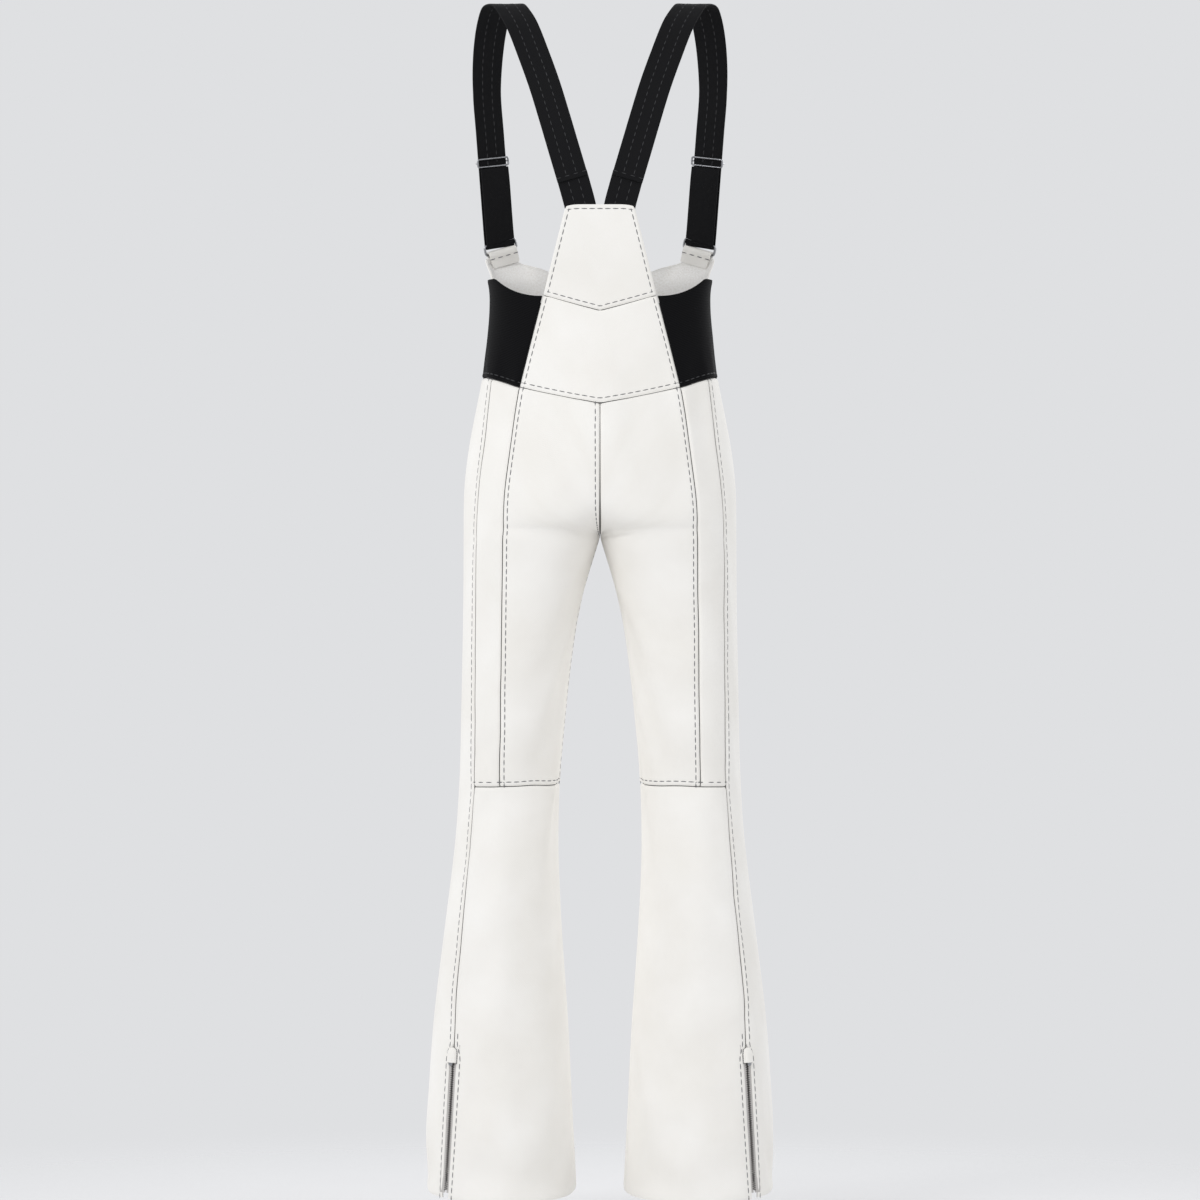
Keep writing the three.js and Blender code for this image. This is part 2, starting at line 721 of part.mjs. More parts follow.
// A forked pull whose arms stand each side of the bail.
const zipPull = (length) =>
  join(
    block([-2.7, -1.3], [-7, 1.2], [-0.7, 0.7]),
    block([1.3, 2.7], [-7, 1.2], [-0.7, 0.7]),
    block([-2.7, 2.7], [-length, -5], [-0.7, 0.7]),
  );

// The pieces of one zip, as name endings with their geometry, material and place.
function zip(frame, length, stops, sliderAt, pullLength) {
  const at = (y, z) => frame.clone().multiply(new THREE.Matrix4().makeTranslation(0, y, z));
  return [
    ["chain", zipChain(length, stops), chain, frame],
    ["slider", slider, metal, at(sliderAt, 0)],
    ["pull", zipPull(pullLength), metal, at(sliderAt, PULL_AXIS)],
  ];
}

function zipOnSkin(seam, { foot, head }) {
  const middle = (foot + head) / 2;
  const low = skin(seam(foot), foot);
  const high = skin(seam(head), head);
  const frame = zipPlace(low, high, outward(seam(middle), middle));
  return [frame, low.distanceTo(high)];
}

const [hemFrame, hemLength] = zipOnSkin(seams.back, HEM_ZIP);
const hemSliderAt = hemLength - 13;
const hemZip = zip(hemFrame, hemLength, ["head"], hemSliderAt, PULL_LENGTH.hem);
for (const [part, geometry, material, place] of hemZip)
  pair(`hem_zip_${part}`, geometry, material, place);

// The garage is a stiffened cloth cap, open below, that covers the slider of the closed zip.
const garage = cut(
  block([-6.2, 6.2], [-9, 8.5], [0.9, 7]),
  block([-5, 5], [-10, 7.2], [0.8, 5.9]),
);
pair(
  "zip_garage",
  garage,
  lining,
  hemFrame.clone().multiply(new THREE.Matrix4().makeTranslation(0, hemSliderAt, 0)),
);

const [pocketFrame, pocketLength] = zipOnSkin(seams.front, POCKET_ZIP);
const pocketZip = zip(
  pocketFrame, pocketLength, ["foot", "head"], pocketLength - 11, PULL_LENGTH.pocket,
);
for (const [part, geometry, material, place] of pocketZip)
  pair(`pocket_zip_${part}`, geometry, material, place);

const [frontFrame, frontLength] = zipOnSkin(seams.centreFront, FRONT_ZIP);
const frontZip = zip(frontFrame, frontLength, ["foot"], frontLength - 8, PULL_LENGTH.front);
for (const [part, geometry, material, place] of frontZip) {
  const mesh = named(`front_zip_${part}`, geometry, material());
  mesh.applyMatrix4(place);
  garment.add(mesh);
}

const skiPants = new THREE.Group();
skiPants.add(garment);
export default skiPants;
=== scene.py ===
# %% [markdown]
# # Bib ski pants
# A slim softshell garment with flared hems, hung from two shoulder straps. The imported CAD model
# holds its frame, joints and sizes. This notebook makes what is seen: cloth panels with a true
# thickness, seams, stitching, webbing, cast fittings and zips; the pieces that cross no fold ride on
# their CAD bodies.

# %% The frame
import math

import bpy
import numpy as np
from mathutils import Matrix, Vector


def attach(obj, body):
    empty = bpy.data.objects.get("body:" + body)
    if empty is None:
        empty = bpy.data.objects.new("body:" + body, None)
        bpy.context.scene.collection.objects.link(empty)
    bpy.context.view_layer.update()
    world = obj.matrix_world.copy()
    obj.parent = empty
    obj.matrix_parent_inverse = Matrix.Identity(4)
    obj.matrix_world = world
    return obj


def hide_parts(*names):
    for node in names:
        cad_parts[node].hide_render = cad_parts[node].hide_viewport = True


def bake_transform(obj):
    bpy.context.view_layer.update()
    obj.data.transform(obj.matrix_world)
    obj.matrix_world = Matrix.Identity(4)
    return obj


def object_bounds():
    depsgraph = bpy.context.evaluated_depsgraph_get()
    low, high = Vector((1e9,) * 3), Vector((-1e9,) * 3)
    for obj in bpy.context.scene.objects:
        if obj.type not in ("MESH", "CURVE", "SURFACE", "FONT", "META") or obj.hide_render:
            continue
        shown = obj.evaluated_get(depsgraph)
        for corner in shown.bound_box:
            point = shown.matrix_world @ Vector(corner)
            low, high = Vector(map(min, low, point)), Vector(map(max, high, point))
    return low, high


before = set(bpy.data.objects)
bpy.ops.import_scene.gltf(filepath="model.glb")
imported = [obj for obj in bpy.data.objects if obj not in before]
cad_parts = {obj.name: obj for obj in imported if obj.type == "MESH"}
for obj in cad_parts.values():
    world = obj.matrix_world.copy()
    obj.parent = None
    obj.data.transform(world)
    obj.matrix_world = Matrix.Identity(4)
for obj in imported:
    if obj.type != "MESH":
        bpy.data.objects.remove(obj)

cad_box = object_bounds()
print("CAD box", [[round(v, 3) for v in corner] for corner in cad_box])

# %% [markdown]
# ## The draft of the garment
# A garment is drafted from a size chart: how far the seams lie from the centre line at a few
# heights above the hem. A smooth curve through those sizes gives the cloth its shape, so the
# whole surface is one rule, and every panel is a patch of it between two seams. Sizes are in
# millimetres, and z = 0 is the underside of the straps over the shoulders.

# %% Size chart and seams
MM = 0.001
SIDES = ("right", "left")
FLIP = {"right": np.array([1, 1, 1]), "left": np.array([-1, 1, 1])}  # drafted for the right
STRAP_CROWN = 1454.5  # height of the straps over the shoulders above the hem
CROTCH = 807
WAIST_SIDE = 987  # where the waist seam meets the princess seam
KNEE_SEAM, KNEE_BOTTOM = 505, 375
SIDE_SPLIT = 590  # a side panel crosses both folds, so it is made in two lengths that meet here


def curve(points):
    """A smooth curve through [height, size] points, straight on past either end."""
    xs, ys = np.array(points, float).T
    last = len(xs) - 1
    low, high = np.maximum(np.arange(last + 1) - 1, 0), np.minimum(np.arange(last + 1) + 1, last)
    slope = (ys[high] - ys[low]) / (xs[high] - xs[low])

    def at(h):
        h = np.asarray(h, float)
        i = np.clip(np.searchsorted(xs, h, side="right") - 1, 0, last - 1)
        step, rise = xs[i + 1] - xs[i], ys[i + 1] - ys[i]
        s = (h - xs[i]) / step
        inside = ys[i] + rise * s * s * (3 - 2 * s) + step * s * (1 - s) * (
            slope[i] * (1 - s) - slope[i + 1] * s
        )
        below = ys[0] + slope[0] * (h - xs[0])
        above = ys[-1] + slope[-1] * (h - xs[-1])
        return np.where(h <= xs[0], below, np.where(h >= xs[-1], above, inside))

    return at


outseam = curve([
    [0, 213], [17, 214], [106, 214], [216, 207.4], [325, 194.6], [435, 181], [509, 175.7],
    [582, 174], [728, 171.5], [807, 171], [865, 170], [911, 165], [960, 156], [1010, 145.5],
    [1045, 138.5], [1095, 135], [1119, 138], [1150, 150], [1210, 158],
])
inseam = curve([
    [0, 28], [106, 33.6], [216, 39], [325, 46.4], [420, 50.6], [509, 49], [582, 43], [655, 35],
    [728, 23], [807, 0],
])
# How far the two legs still stand apart inside the trunk, from 1 at the crotch to 0 at the waist.
leg_split = curve([
    [807, 1], [816, 0.82], [828, 0.58], [843, 0.36], [862, 0.22], [890, 0.12], [930, 0.05],
    [985, 0], [1210, 0],
])
back_depth = curve([
    [0, -105], [17, -104], [106, -98], [216, -90], [325, -86], [400, -83], [460, -76],
    [509, -73], [582, -84], [655, -92], [728, -99], [807, -114], [840, -126], [880, -130],
    [920, -126], [960, -117], [1045, -101], [1095, -97], [1149, -102], [1210, -108],
])
front_depth = curve([
    [0, 84], [106, 76], [216, 70], [325, 68], [400, 70], [470, 76], [530, 80], [655, 86],
    [728, 90], [807, 96], [850, 101], [900, 103.5], [1000, 103.5], [1110, 102.5], [1210, 102],
])
squareness = curve([
    [0, 2.1], [650, 2.1], [807, 2.2], [920, 2.4], [1045, 2.7], [1110, 3], [1150, 3.6],
    [1210, 3.6],
])
yoke_side = curve([[987, 98], [1040, 84.5], [1097, 69.5], [1150, 56], [1207, 41.5]])
princess_back = curve([
    [490, 121], [545, 122], [618, 120.8], [728, 119.6], [801, 118.5], [850, 117], [899, 112],
    [948, 105], [987, 98],
])
side_back = curve([
    [190, 177.4], [252, 175.2], [326, 168.4], [399, 162], [472, 156.5], [545, 153.7],
    [655, 152.5], [801, 151.3], [875, 147.6], [923, 141.5], [1000, 132],
])
side_front = curve([
    [0, 188], [190, 176], [325, 165], [435, 156], [509, 152], [655, 147], [760, 146],
    [820, 146], [950, 139.5], [990, 136.5], [1045, 131], [1095, 130], [1119, 134],
    [1140, 138.5], [1165, 140],
])
HEM_ZIP = (10, 190)  # foot and head, as heights above the hem
HEM_ZIP_X = (187.6, 177.4)  # how far its foot and head lie from the centre line
POCKET_ZIP = (825, 950)
FRONT_ZIP = (880, 1118)


def between(h, span, ends):
    """A straight run from one end to the other over a span of heights."""
    return ends[0] + (ends[1] - ends[0]) * (np.asarray(h, float) - span[0]) / (span[1] - span[0])


def princess_x(h):
    return np.where(np.asarray(h) > WAIST_SIDE, yoke_side(h), princess_back(h))


def side_back_x(h):
    return np.where(np.asarray(h) < HEM_ZIP[1], between(h, HEM_ZIP, HEM_ZIP_X), side_back(h))


def side_front_x(h):
    h = np.asarray(h, float)
    straight = between(h, POCKET_ZIP, [float(side_front(end)) for end in POCKET_ZIP])
    return np.where((h > POCKET_ZIP[0]) & (h < POCKET_ZIP[1]), straight, side_front(h))


# %% [markdown]
# ## The skin
# Each height has a rounded section, a superellipse, for the right half of the body. t runs round
# it: -1 at the centre back or the inseam, 0 at the side, 1 at the centre front. Above the crotch
# the section is cut at the centre line, so the two legs run together into one trunk.

# %% Skin of the right half
def section(h):
    h = np.asarray(h, float)
    out = outseam(h)
    legs = (out + inseam(h)) / np.maximum(out - inseam(h), 1)
    ratio = np.where(h < CROTCH, legs, np.clip(leg_split(h), 0, 1))
    a = out / (1 + ratio)
    n = squareness(h)
    turn = np.where(ratio >= 1, np.pi, np.arccos(-np.minimum(ratio, 1) ** (n / 2)))
    yc, b = (front_depth(h) + back_depth(h)) / 2, (front_depth(h) - back_depth(h)) / 2
    return ratio * a, a, yc, b, n, turn


def signed_power(v, p):
    return np.sign(v) * np.abs(v) ** p


def skin(t, h):
    """Points of the right half, in millimetres."""
    t, h = np.broadcast_arrays(np.asarray(t, float), np.asarray(h, float))
    xc, a, yc, b, n, turn = section(h)
    x = xc + a * signed_power(np.cos(t * turn), 2 / n)
    y = yc + b * signed_power(np.sin(t * turn), 2 / n)
    return np.stack([np.where(h >= CROTCH, np.maximum(x, 0), x), y, h - STRAP_CROWN], axis=-1)


def unit(v):
    return v / np.maximum(np.linalg.norm(v, axis=-1, keepdims=True), 1e-9)


def outward(t, h):
    t, h = np.broadcast_arrays(np.asarray(t, float), np.asarray(h, float))
    round_it = skin(np.minimum(t + 0.004, 1), h) - skin(np.maximum(t - 0.004, -1), h)
    return unit(np.cross(round_it, skin(t, h + 1) - skin(t, h - 1)))


def speed(t, h):
    """Millimetres of cloth for each unit of t."""
    low, high = np.maximum(t - 0.01, -1), np.minimum(t + 0.01, 1)
    return np.linalg.norm(skin(high, h) - skin(low, h), axis=-1) / (high - low)


def t_at(h, x, side):
    """Where a seam at a distance x from the centre lies: side -1 is the back, 1 the front."""
    xc, a, _, _, n, turn = section(h)
    return side * np.arccos(signed_power(np.clip((x - xc) / a, -1, 1), n / 2)) / turn


SEAMS = {
    "centre_back": lambda h: -np.ones_like(np.asarray(h, float)),
    "princess": lambda h: t_at(h, princess_x(h), -1),
    "back": lambda h: t_at(h, side_back_x(h), -1),
    "front": lambda h: t_at(h, side_front_x(h), 1),
    "centre_front": lambda h: np.ones_like(np.asarray(h, float)),
}

# %% [markdown]
# ## Straight zips and slanted rings
# A zip can't curve, so the cloth beside each one is brought onto a straight line. Each zip has
# its own axes: across it, up it and out of the cloth. Each ring lies in line with its strap and
# a little aslant, and the corner of the bib is drawn forward to it.

# %% Places of the zips and the rings
ZIP_LINES = {
    "hem": ("back", HEM_ZIP), "pocket": ("front", POCKET_ZIP), "front": ("centre_front", FRONT_ZIP),
}
STRAP_LOW, STRAP_HIGH = np.array([[124.6, 90, 1172], [138, 66, 1352]]) - [0, 0, STRAP_CROWN]
TAB_TURN = math.radians(-27)  # the front end of a strap faces a little outwards
RING = {"width": 46, "height": 15, "wire": 3, "corner": 5, "slant": math.radians(9)}


class Place:
    """An origin with directions across, up and out, for drafting a part where it goes."""

    def __init__(self, origin, across, up):
        self.origin, self.across, self.up = origin, unit(across), unit(up)
        self.out = unit(np.cross(self.up, self.across))
        if self.out[1] * self.origin[1] < 0:  # out of the cloth, in front and behind
            self.out = -self.out

    def points(self, local):
        local = np.asarray(local, float)
        axes = np.stack([self.across, self.up, self.out])
        return self.origin + local @ axes

    def raised(self, y, z=0.0):
        """The same place, moved up and out."""
        return Place(self.origin + y * self.up + z * self.out, self.across, self.up)


def zip_place(label):
    """The place of a zip on the right half, at its foot, and its length."""
    seam, span = ZIP_LINES[label]
    ends = np.array(span, float)
    low_end, high_end = skin(SEAMS[seam](ends), ends)
    middle = np.array([ends.mean()])
    out = outward(SEAMS[seam](middle), middle)[0]
    up = unit(high_end - low_end)
    return Place(low_end, np.cross(up, out), up), float(np.linalg.norm(high_end - low_end))


ZIP_PLACES = {label: zip_place(label) for label in ZIP_LINES}

strap_up = unit(STRAP_HIGH - STRAP_LOW)
turned = np.array([math.cos(TAB_TURN), math.sin(TAB_TURN), 0])
STRAP = Place(STRAP_LOW, turned - strap_up * (turned @ strap_up), strap_up)
slant_cos, slant_sin = math.cos(RING["slant"]), math.sin(RING["slant"])
ring_across = STRAP.across * slant_cos - STRAP.up * slant_sin
ring_up = STRAP.up * slant_cos + STRAP.across * slant_sin
RING_PLACE = Place(STRAP_LOW - ring_up * RING["height"], ring_across, ring_up)


def smooth(v):
    v = np.clip(v, 0, 1)
    return v * v * (3 - 2 * v)


PRESS = {"beyond": 25, "beside": 22}  # how far past its ends and its sides a zip is felt


def zip_press(t, h):
    """Brings the cloth beside each zip onto the zip's straight line."""
    shift = np.zeros(t.shape + (3,))
    beyond = PRESS["beyond"]
    for label, (seam, span) in ZIP_LINES.items():
        place = ZIP_PLACES[label][0]
        inside = smooth(np.minimum(h - span[0] + beyond, span[1] + beyond - h) / beyond)
        held = np.clip(h, *span)
        on_seam = skin(SEAMS[seam](held), held)
        rise = ((on_seam - place.origin) @ place.up)[..., None]
        off = place.origin + rise * place.up - on_seam
        away = np.abs(t - SEAMS[seam](h)) * speed(t, h)
        shift += off * (inside * np.exp(-((away / PRESS["beside"]) ** 2)))[..., None]
    return shift


TAB_FOOT, TAB_OVER = 1120, 27  # the bib's corner leaves the skin for the ring over these heights
CORNER_HALF, CORNER_FADE = 38, 18  # how far the corner reaches beside the ring, and its fade
BEHIND_RING = 1.2


def ring_reach(points, t, h):
    """Draws the corner of the bib forward to the plane of its ring."""
    behind = (RING_PLACE.origin - points) @ RING_PLACE.out
    beside = np.abs((points - RING_PLACE.origin) @ RING_PLACE.across)
    share = smooth((h - TAB_FOOT) / TAB_OVER) * smooth((CORNER_HALF - beside) / CORNER_FADE)
    return RING_PLACE.out * (share * (t > 0) * (behind - BEHIND_RING))[..., None]


# %% [markdown]
# ## How the cloth hangs
# Softshell is stiff for a cloth, so it hangs in a few broad, shallow folds and not in crumples.
# Blender's cloth simulation finds them: each half of the garment is a sheet a little larger than
# the draft, held along its centre lines and its waist and lightly along its seams. It settles
# under its own weight, and the way each point moved, held to a few millimetres, is kept as a map
# that every panel reads. The zips stay straight, so the map fades out beside them.

# %% Cloth simulation of each half
FOLD_T = np.linspace(-1, 1, 73)
FOLD_H = np.linspace(0, 1110, 112)
FOLD_LIMIT = 4.5  # millimetres
SIM_FRAMES = 22
RIPPLES = 14  # gentle waves that the cloth starts from
SEEDS = {"right": 3, "left": 8}
STIFF_CLOTH = {
    "quality": 5, "mass": 0.35, "tension_stiffness": 30, "compression_stiffness": 25,
    "shear_stiffness": 12, "bending_stiffness": 4, "air_damping": 4,
    "vertex_group_mass": "held", "pin_stiffness": 4, "shrink_min": -0.012,
}


def grid_faces(rows, columns):
    first = (np.arange(rows - 1)[:, None] * columns + np.arange(columns - 1)[None, :]).ravel()
    return np.stack([first, first + 1, first + columns + 1, first + columns], axis=1)


def mesh_of(name, points, faces):
    """A mesh from points in metres."""
    mesh = bpy.data.meshes.new(name)
    mesh.from_pydata(np.asarray(points, float).reshape(-1, 3).tolist(), [], np.asarray(faces).tolist())
    return mesh


def shown(name, mesh):
    piece = bpy.data.objects.new(name, mesh)
    bpy.context.scene.collection.objects.link(piece)
    return piece


T_LENGTH = 90  # about how many millimetres one unit of t is, where that is close enough
SEAM_HOLD, SEAM_REACH = 0.3, 6
CENTRE_REACH = 5
WAIST_FROM, WAIST_OVER = 1000, 90
HEM_HOLD, HEM_OVER = 0.5, 25


def hold_weights(t, h):
    """How firmly each point of the simulated sheet is held, from 0 to 1."""
    near = np.zeros_like(t)
    for seam in ("princess", "back", "front"):
        away = np.abs(t - SEAMS[seam](h)) * T_LENGTH
        near = np.maximum(near, SEAM_HOLD * np.exp(-(away / SEAM_REACH) ** 2))
    centre = np.exp(-(((1 - np.abs(t)) * T_LENGTH) / CENTRE_REACH) ** 2)
    waist = np.clip((h - WAIST_FROM) / WAIST_OVER, 0, 1)
    hem = HEM_HOLD * np.clip((HEM_OVER - h) / HEM_OVER, 0, 1)
    return np.clip(np.maximum.reduce([near, centre, waist, hem]), 0, 1)


def settle(side, seed):
    """The way each point of a half moves as its cloth settles, in millimetres."""
    t, h = np.meshgrid(FOLD_T, FOLD_H)
    start = skin(t, h)
    rng = np.random.default_rng(seed)
    ripple = np.zeros_like(h)
    for _ in range(RIPPLES):
        length, lean, phase = rng.uniform(70, 240), rng.uniform(-1.4, 1.4), rng.uniform(0, 6.28)
        ripple += np.sin((h + lean * t * 160) * 2 * np.pi / length + phase) * rng.uniform(0.1, 0.35)
    points = start + outward(t, h) * (ripple * (1 - hold_weights(t, h)))[..., None]
    sheet = shown("settling_" + side, mesh_of("settling_" + side, points * MM, grid_faces(*t.shape)))
    group = sheet.vertex_groups.new(name="held")
    for i, weight in enumerate(hold_weights(t, h).ravel()):
        if weight > 0.01:
            group.add([i], float(weight), "REPLACE")
    cloth = sheet.modifiers.new("cloth", "CLOTH")
    for key, value in STIFF_CLOTH.items():
        setattr(cloth.settings, key, value)
    cloth.point_cache.frame_start, cloth.point_cache.frame_end = 1, SIM_FRAMES
    scene = bpy.context.scene
    for step in range(1, SIM_FRAMES + 1):
        scene.frame_set(step)
    settled = sheet.evaluated_get(bpy.context.evaluated_depsgraph_get()).to_mesh()
    found = np.zeros(len(settled.vertices) * 3, np.float32)
    settled.vertices.foreach_get("co", found)
    scene.frame_set(1)
    bpy.data.objects.remove(sheet, do_unlink=True)
    moved = found.reshape(*t.shape, 3).astype(float) / MM - start
    size = np.linalg.norm(moved, axis=-1, keepdims=True)
    print(side, "cloth moved up to", round(float(size.max()), 1), "mm")
    return moved * (FOLD_LIMIT * np.tanh(size / FOLD_LIMIT) / np.maximum(size, 1e-6))


def softened(field, passes=2):
    for _ in range(passes):
        padded = np.pad(field, ((1, 1), (1, 1), (0, 0)), mode="edge")
        field = (
            2 * field + padded[:-2, 1:-1] + padded[2:, 1:-1] + padded[1:-1, :-2] + padded[1:-1, 2:]
        ) / 6
    return field


FOLDS = {}
for side in SIDES:
    FOLDS[side] = softened(settle(side, SEEDS[side]))


CALM = {"beyond": 40, "fade": 30, "beside": 22, "centre": 14, "leg": 0.25}


def zip_calm(t, h):
    """1 in open cloth, falling to 0 beside a zip and at the centre lines of the trunk."""
    calm = np.ones_like(t)
    beyond = CALM["beyond"]
    for seam, span in ZIP_LINES.values():
        away = np.abs(t - SEAMS[seam](h)) * speed(t, h)
        from_end = np.minimum(h - span[0] + beyond, span[1] + beyond - h)
        inside = np.clip(from_end / CALM["fade"], 0, 1)
        calm = np.minimum(calm, 1 - inside * np.clip(1.6 - away / CALM["beside"], 0, 1))
    centre = np.clip((1 - np.abs(t)) * speed(t, h) / CALM["centre"], 0, 1)
    return calm * np.where(h > CROTCH - 10, centre, np.clip(CALM["leg"] + centre, 0, 1))


def folds(t, h, side):
    """The settled cloth's movement at any point, read from the map."""
    t, h = np.broadcast_arrays(np.asarray(t, float), np.asarray(h, float))
    i = np.clip(np.interp(h, FOLD_H, np.arange(len(FOLD_H))), 0, len(FOLD_H) - 1.001)
    j = np.clip(np.interp(t, FOLD_T, np.arange(len(FOLD_T))), 0, len(FOLD_T) - 1.001)
    i0, j0 = i.astype(int), j.astype(int)
    fi, fj = (i - i0)[..., None], (j - j0)[..., None]
    field = FOLDS[side]
    low = field[i0, j0] * (1 - fj) + field[i0, j0 + 1] * fj
    high = field[i0 + 1, j0] * (1 - fj) + field[i0 + 1, j0 + 1] * fj
    return (low * (1 - fi) + high * fi) * zip_calm(t, h)[..., None]


# where the seat turns under into the legs: its height, how it rises outwards, and how far it goes
CREASE = {"height": 812, "rise": 6, "reach": 0.7, "half": 6.5, "deep": 3.8}


def seat_crease(t, h):
    """A shallow crease below the seat, deepest near the centre back."""
    across = np.clip((t + 1) / CREASE["reach"], 0, 1)
    off = h - CREASE["height"] - CREASE["rise"] * across
    depth = CREASE["deep"] * np.exp(-((off / CREASE["half"]) ** 2))
    return -depth * (1 - across) ** 0.8 * np.clip((t + 1) * 12, 0, 1)


def cloth(t, h, side):
    """Points of the settled cloth for either half, in millimetres."""
    t, h = np.broadcast_arrays(np.asarray(t, float), np.asarray(h, float))
    points = skin(t, h) + folds(t, h, side) + zip_press(t, h)
    points = points + outward(t, h) * (seat_crease(t, h) * (t < 0))[..., None]
    return (points + ring_reach(points, t, h)) * FLIP[side]


# %% [markdown]
# ## Small helpers for nodes
# One function adds a shader or geometry node, sets its properties and its inputs, and links it.
# Colours are written as the sRGB hex values a swatch gives, and turned to linear once.

# %% Node helper
def linear(hex_colour):
    srgb = [int(hex_colour[i : i + 2], 16) / 255 for i in (1, 3, 5)]
    return [c / 12.92 if c <= 0.04045 else ((c + 0.055) / 1.055) ** 2.4 for c in srgb] + [1.0]


def node(tree, kind, settings=None, **inputs):
    """Adds a node. An input is a value or the socket of another node that is linked to it."""
    made = tree.nodes.new(kind)
    for key, value in (settings or {}).items():
        setattr(made, key, value)
    for key, value in inputs.items():
        name = key.replace("_", " ").strip()
        socket = made.inputs[int(name)] if name.isdigit() else made.inputs[name]
        if isinstance(value, bpy.types.NodeSocket):
            tree.links.new(value, socket)
        else:
            socket.default_value = value
    return made


def new_material(name, roughness, metallic=0.0, sheen=0.0, colour="#808080", specular=0.5):
    """A material with its shader, ready for a pattern to be linked in."""
    material = bpy.data.materials.new(name)
    material.use_nodes = True
    shader = material.node_tree.nodes["Principled BSDF"]
    shader.inputs["Base Color"].default_value = linear(colour)
    shader.inputs["Roughness"].default_value = roughness
    shader.inputs["Metallic"].default_value = metallic
    shader.inputs["Sheen Weight"].default_value = sheen
    shader.inputs["Sheen Roughness"].default_value = 0.5
    shader.inputs["Specular IOR Level"].default_value = specular
    return material, material.node_tree, shader


def colour_between(tree, factor, dark, light, low=0.3, high=0.7):
    ramp = node(tree, "ShaderNodeValToRGB", Fac=factor)
    ramp.color_ramp.elements[0].position, ramp.color_ramp.elements[0].color = low, linear(dark)
    ramp.color_ramp.elements[1].position, ramp.color_ramp.elements[1].color = high, linear(light)
    return ramp.outputs["Color"]


def paint(tree, shader, factor, dark, light, low=0.3, high=0.7):
    tree.links.new(
        colour_between(tree, factor, dark, light, low, high), shader.inputs["Base Color"],
    )


def bump_into(tree, shader, height, distance, strength):
    bump = node(
        tree, "ShaderNodeBump", Height=height, Distance=distance * MM, Strength=strength,
    )
    tree.links.new(bump.outputs["Normal"], shader.inputs["Normal"])


def cloth_coordinates(tree):
    """The cloth's own map, in metres along its weft and its warp."""
    return node(tree, "ShaderNodeUVMap", {"uv_map": "cloth"}).outputs["UV"]


def math_node(tree, operation, *values):
    inputs = {f"_{i}": value for i, value in enumerate(values)}
    return node(tree, "ShaderNodeMath", {"operation": operation}, **inputs).outputs[0]


def noise(tree, place, scale, detail):
    return node(
        tree, "ShaderNodeTexNoise", Vector=place, Scale=scale, Detail=detail,
    ).outputs["Fac"]


def threads(tree, place, axis, pitch, **more):
    """Parallel ridges, pitch millimetres apart: a wave's bands repeat every 1 / (3.183 x scale)."""
    return node(
        tree, "ShaderNodeTexWave", {"bands_direction": axis}, Vector=place,
        Scale=1 / (pitch * MM) / 3.183, **more,
    ).outputs["Fac"]


def weave_height(tree, place, pitch):
    """Two crossed sets of threads, cut on the bias, as a height from 0 to 1."""
    bias = (0, 0, math.radians(45))
    turned = node(tree, "ShaderNodeMapping", Vector=place, Rotation=bias).outputs[0]
    return math_node(
        tree, "MULTIPLY", threads(tree, turned, "X", pitch), threads(tree, turned, "Y", pitch),
    )


# %% [markdown]
# ## Materials
# **Softshell** is a plain-woven face of fine filament yarn bonded to fleece. Light scatters in
# it, so it is matt with a faint sheen, and its white is warm and slightly uneven. The real weave
# is 0.4 mm, finer than a render can show, so it is drawn at 1.5 mm.
# **Stretch panel** is a black double weave with a fine cross rib. **Webbing** is polyester with
# a chevron twill. **Fittings** are die-cast zinc with a satin nickel plate.

# %% Cloth materials
def softshell():
    material, tree, shader = new_material("softshell_face", 0.82, sheen=0.12)
    place = cloth_coordinates(tree)
    paint(tree, shader, noise(tree, place, 9.0, 4.0), "#efece6", "#f7f5f1")
    fuzz = noise(tree, place, 900.0, 2.0)
    bump_into(tree, shader, math_node(tree, "ADD", weave_height(tree, place, 1.5), fuzz), 0.12, 0.55)
    return material


def fleece():
    material, tree, shader = new_material("fleece_backing", 0.95, sheen=0.3)
    pile = noise(tree, cloth_coordinates(tree), 420.0, 6.0)
    paint(tree, shader, pile, "#eeebe6", "#fdfcfa")
    bump_into(tree, shader, pile, 0.5, 0.7)
    return material


def stretch_weave():
    material, tree, shader = new_material("black_stretch_weave", 0.85, sheen=0.01, specular=0.1)
    place = cloth_coordinates(tree)
    rib = threads(tree, place, "Y", 2.0, Distortion=0.4, Detail=1.0)
    paint(tree, shader, rib, "#050506", "#121214")
    bump_into(tree, shader, math_node(tree, "ADD", rib, noise(tree, place, 700.0, 3.0)), 0.2, 0.6)
    return material


def webbing_twill():
    material, tree, shader = new_material("polyester_webbing", 0.7, sheen=0.01, specular=0.12)
    place = cloth_coordinates(tree)
    # the twill leans one way on one half of the strap and the other way on the other half
    parted = node(tree, "ShaderNodeSeparateXYZ", Vector=place).outputs
    lean = math_node(tree, "ADD", math_node(tree, "ABSOLUTE", parted["X"]), parted["Y"])
    twill = threads(tree, node(tree, "ShaderNodeCombineXYZ", X=lean).outputs[0], "X", 2.4)
    height = math_node(tree, "ADD", twill, threads(tree, place, "X", 1.3))
    paint(tree, shader, height, "#050506", "#151517", 0.4, 1.6)
    bump_into(tree, shader, height, 0.25, 0.7)
    return material


def elastic_rib():
    material, tree, shader = new_material("ribbed_elastic", 0.85, sheen=0.2)
    rib = threads(tree, cloth_coordinates(tree), "Y", 2.6)
    paint(tree, shader, rib, "#bdbab5", "#e6e3de")
    bump_into(tree, shader, rib, 0.5, 0.8)
    return material


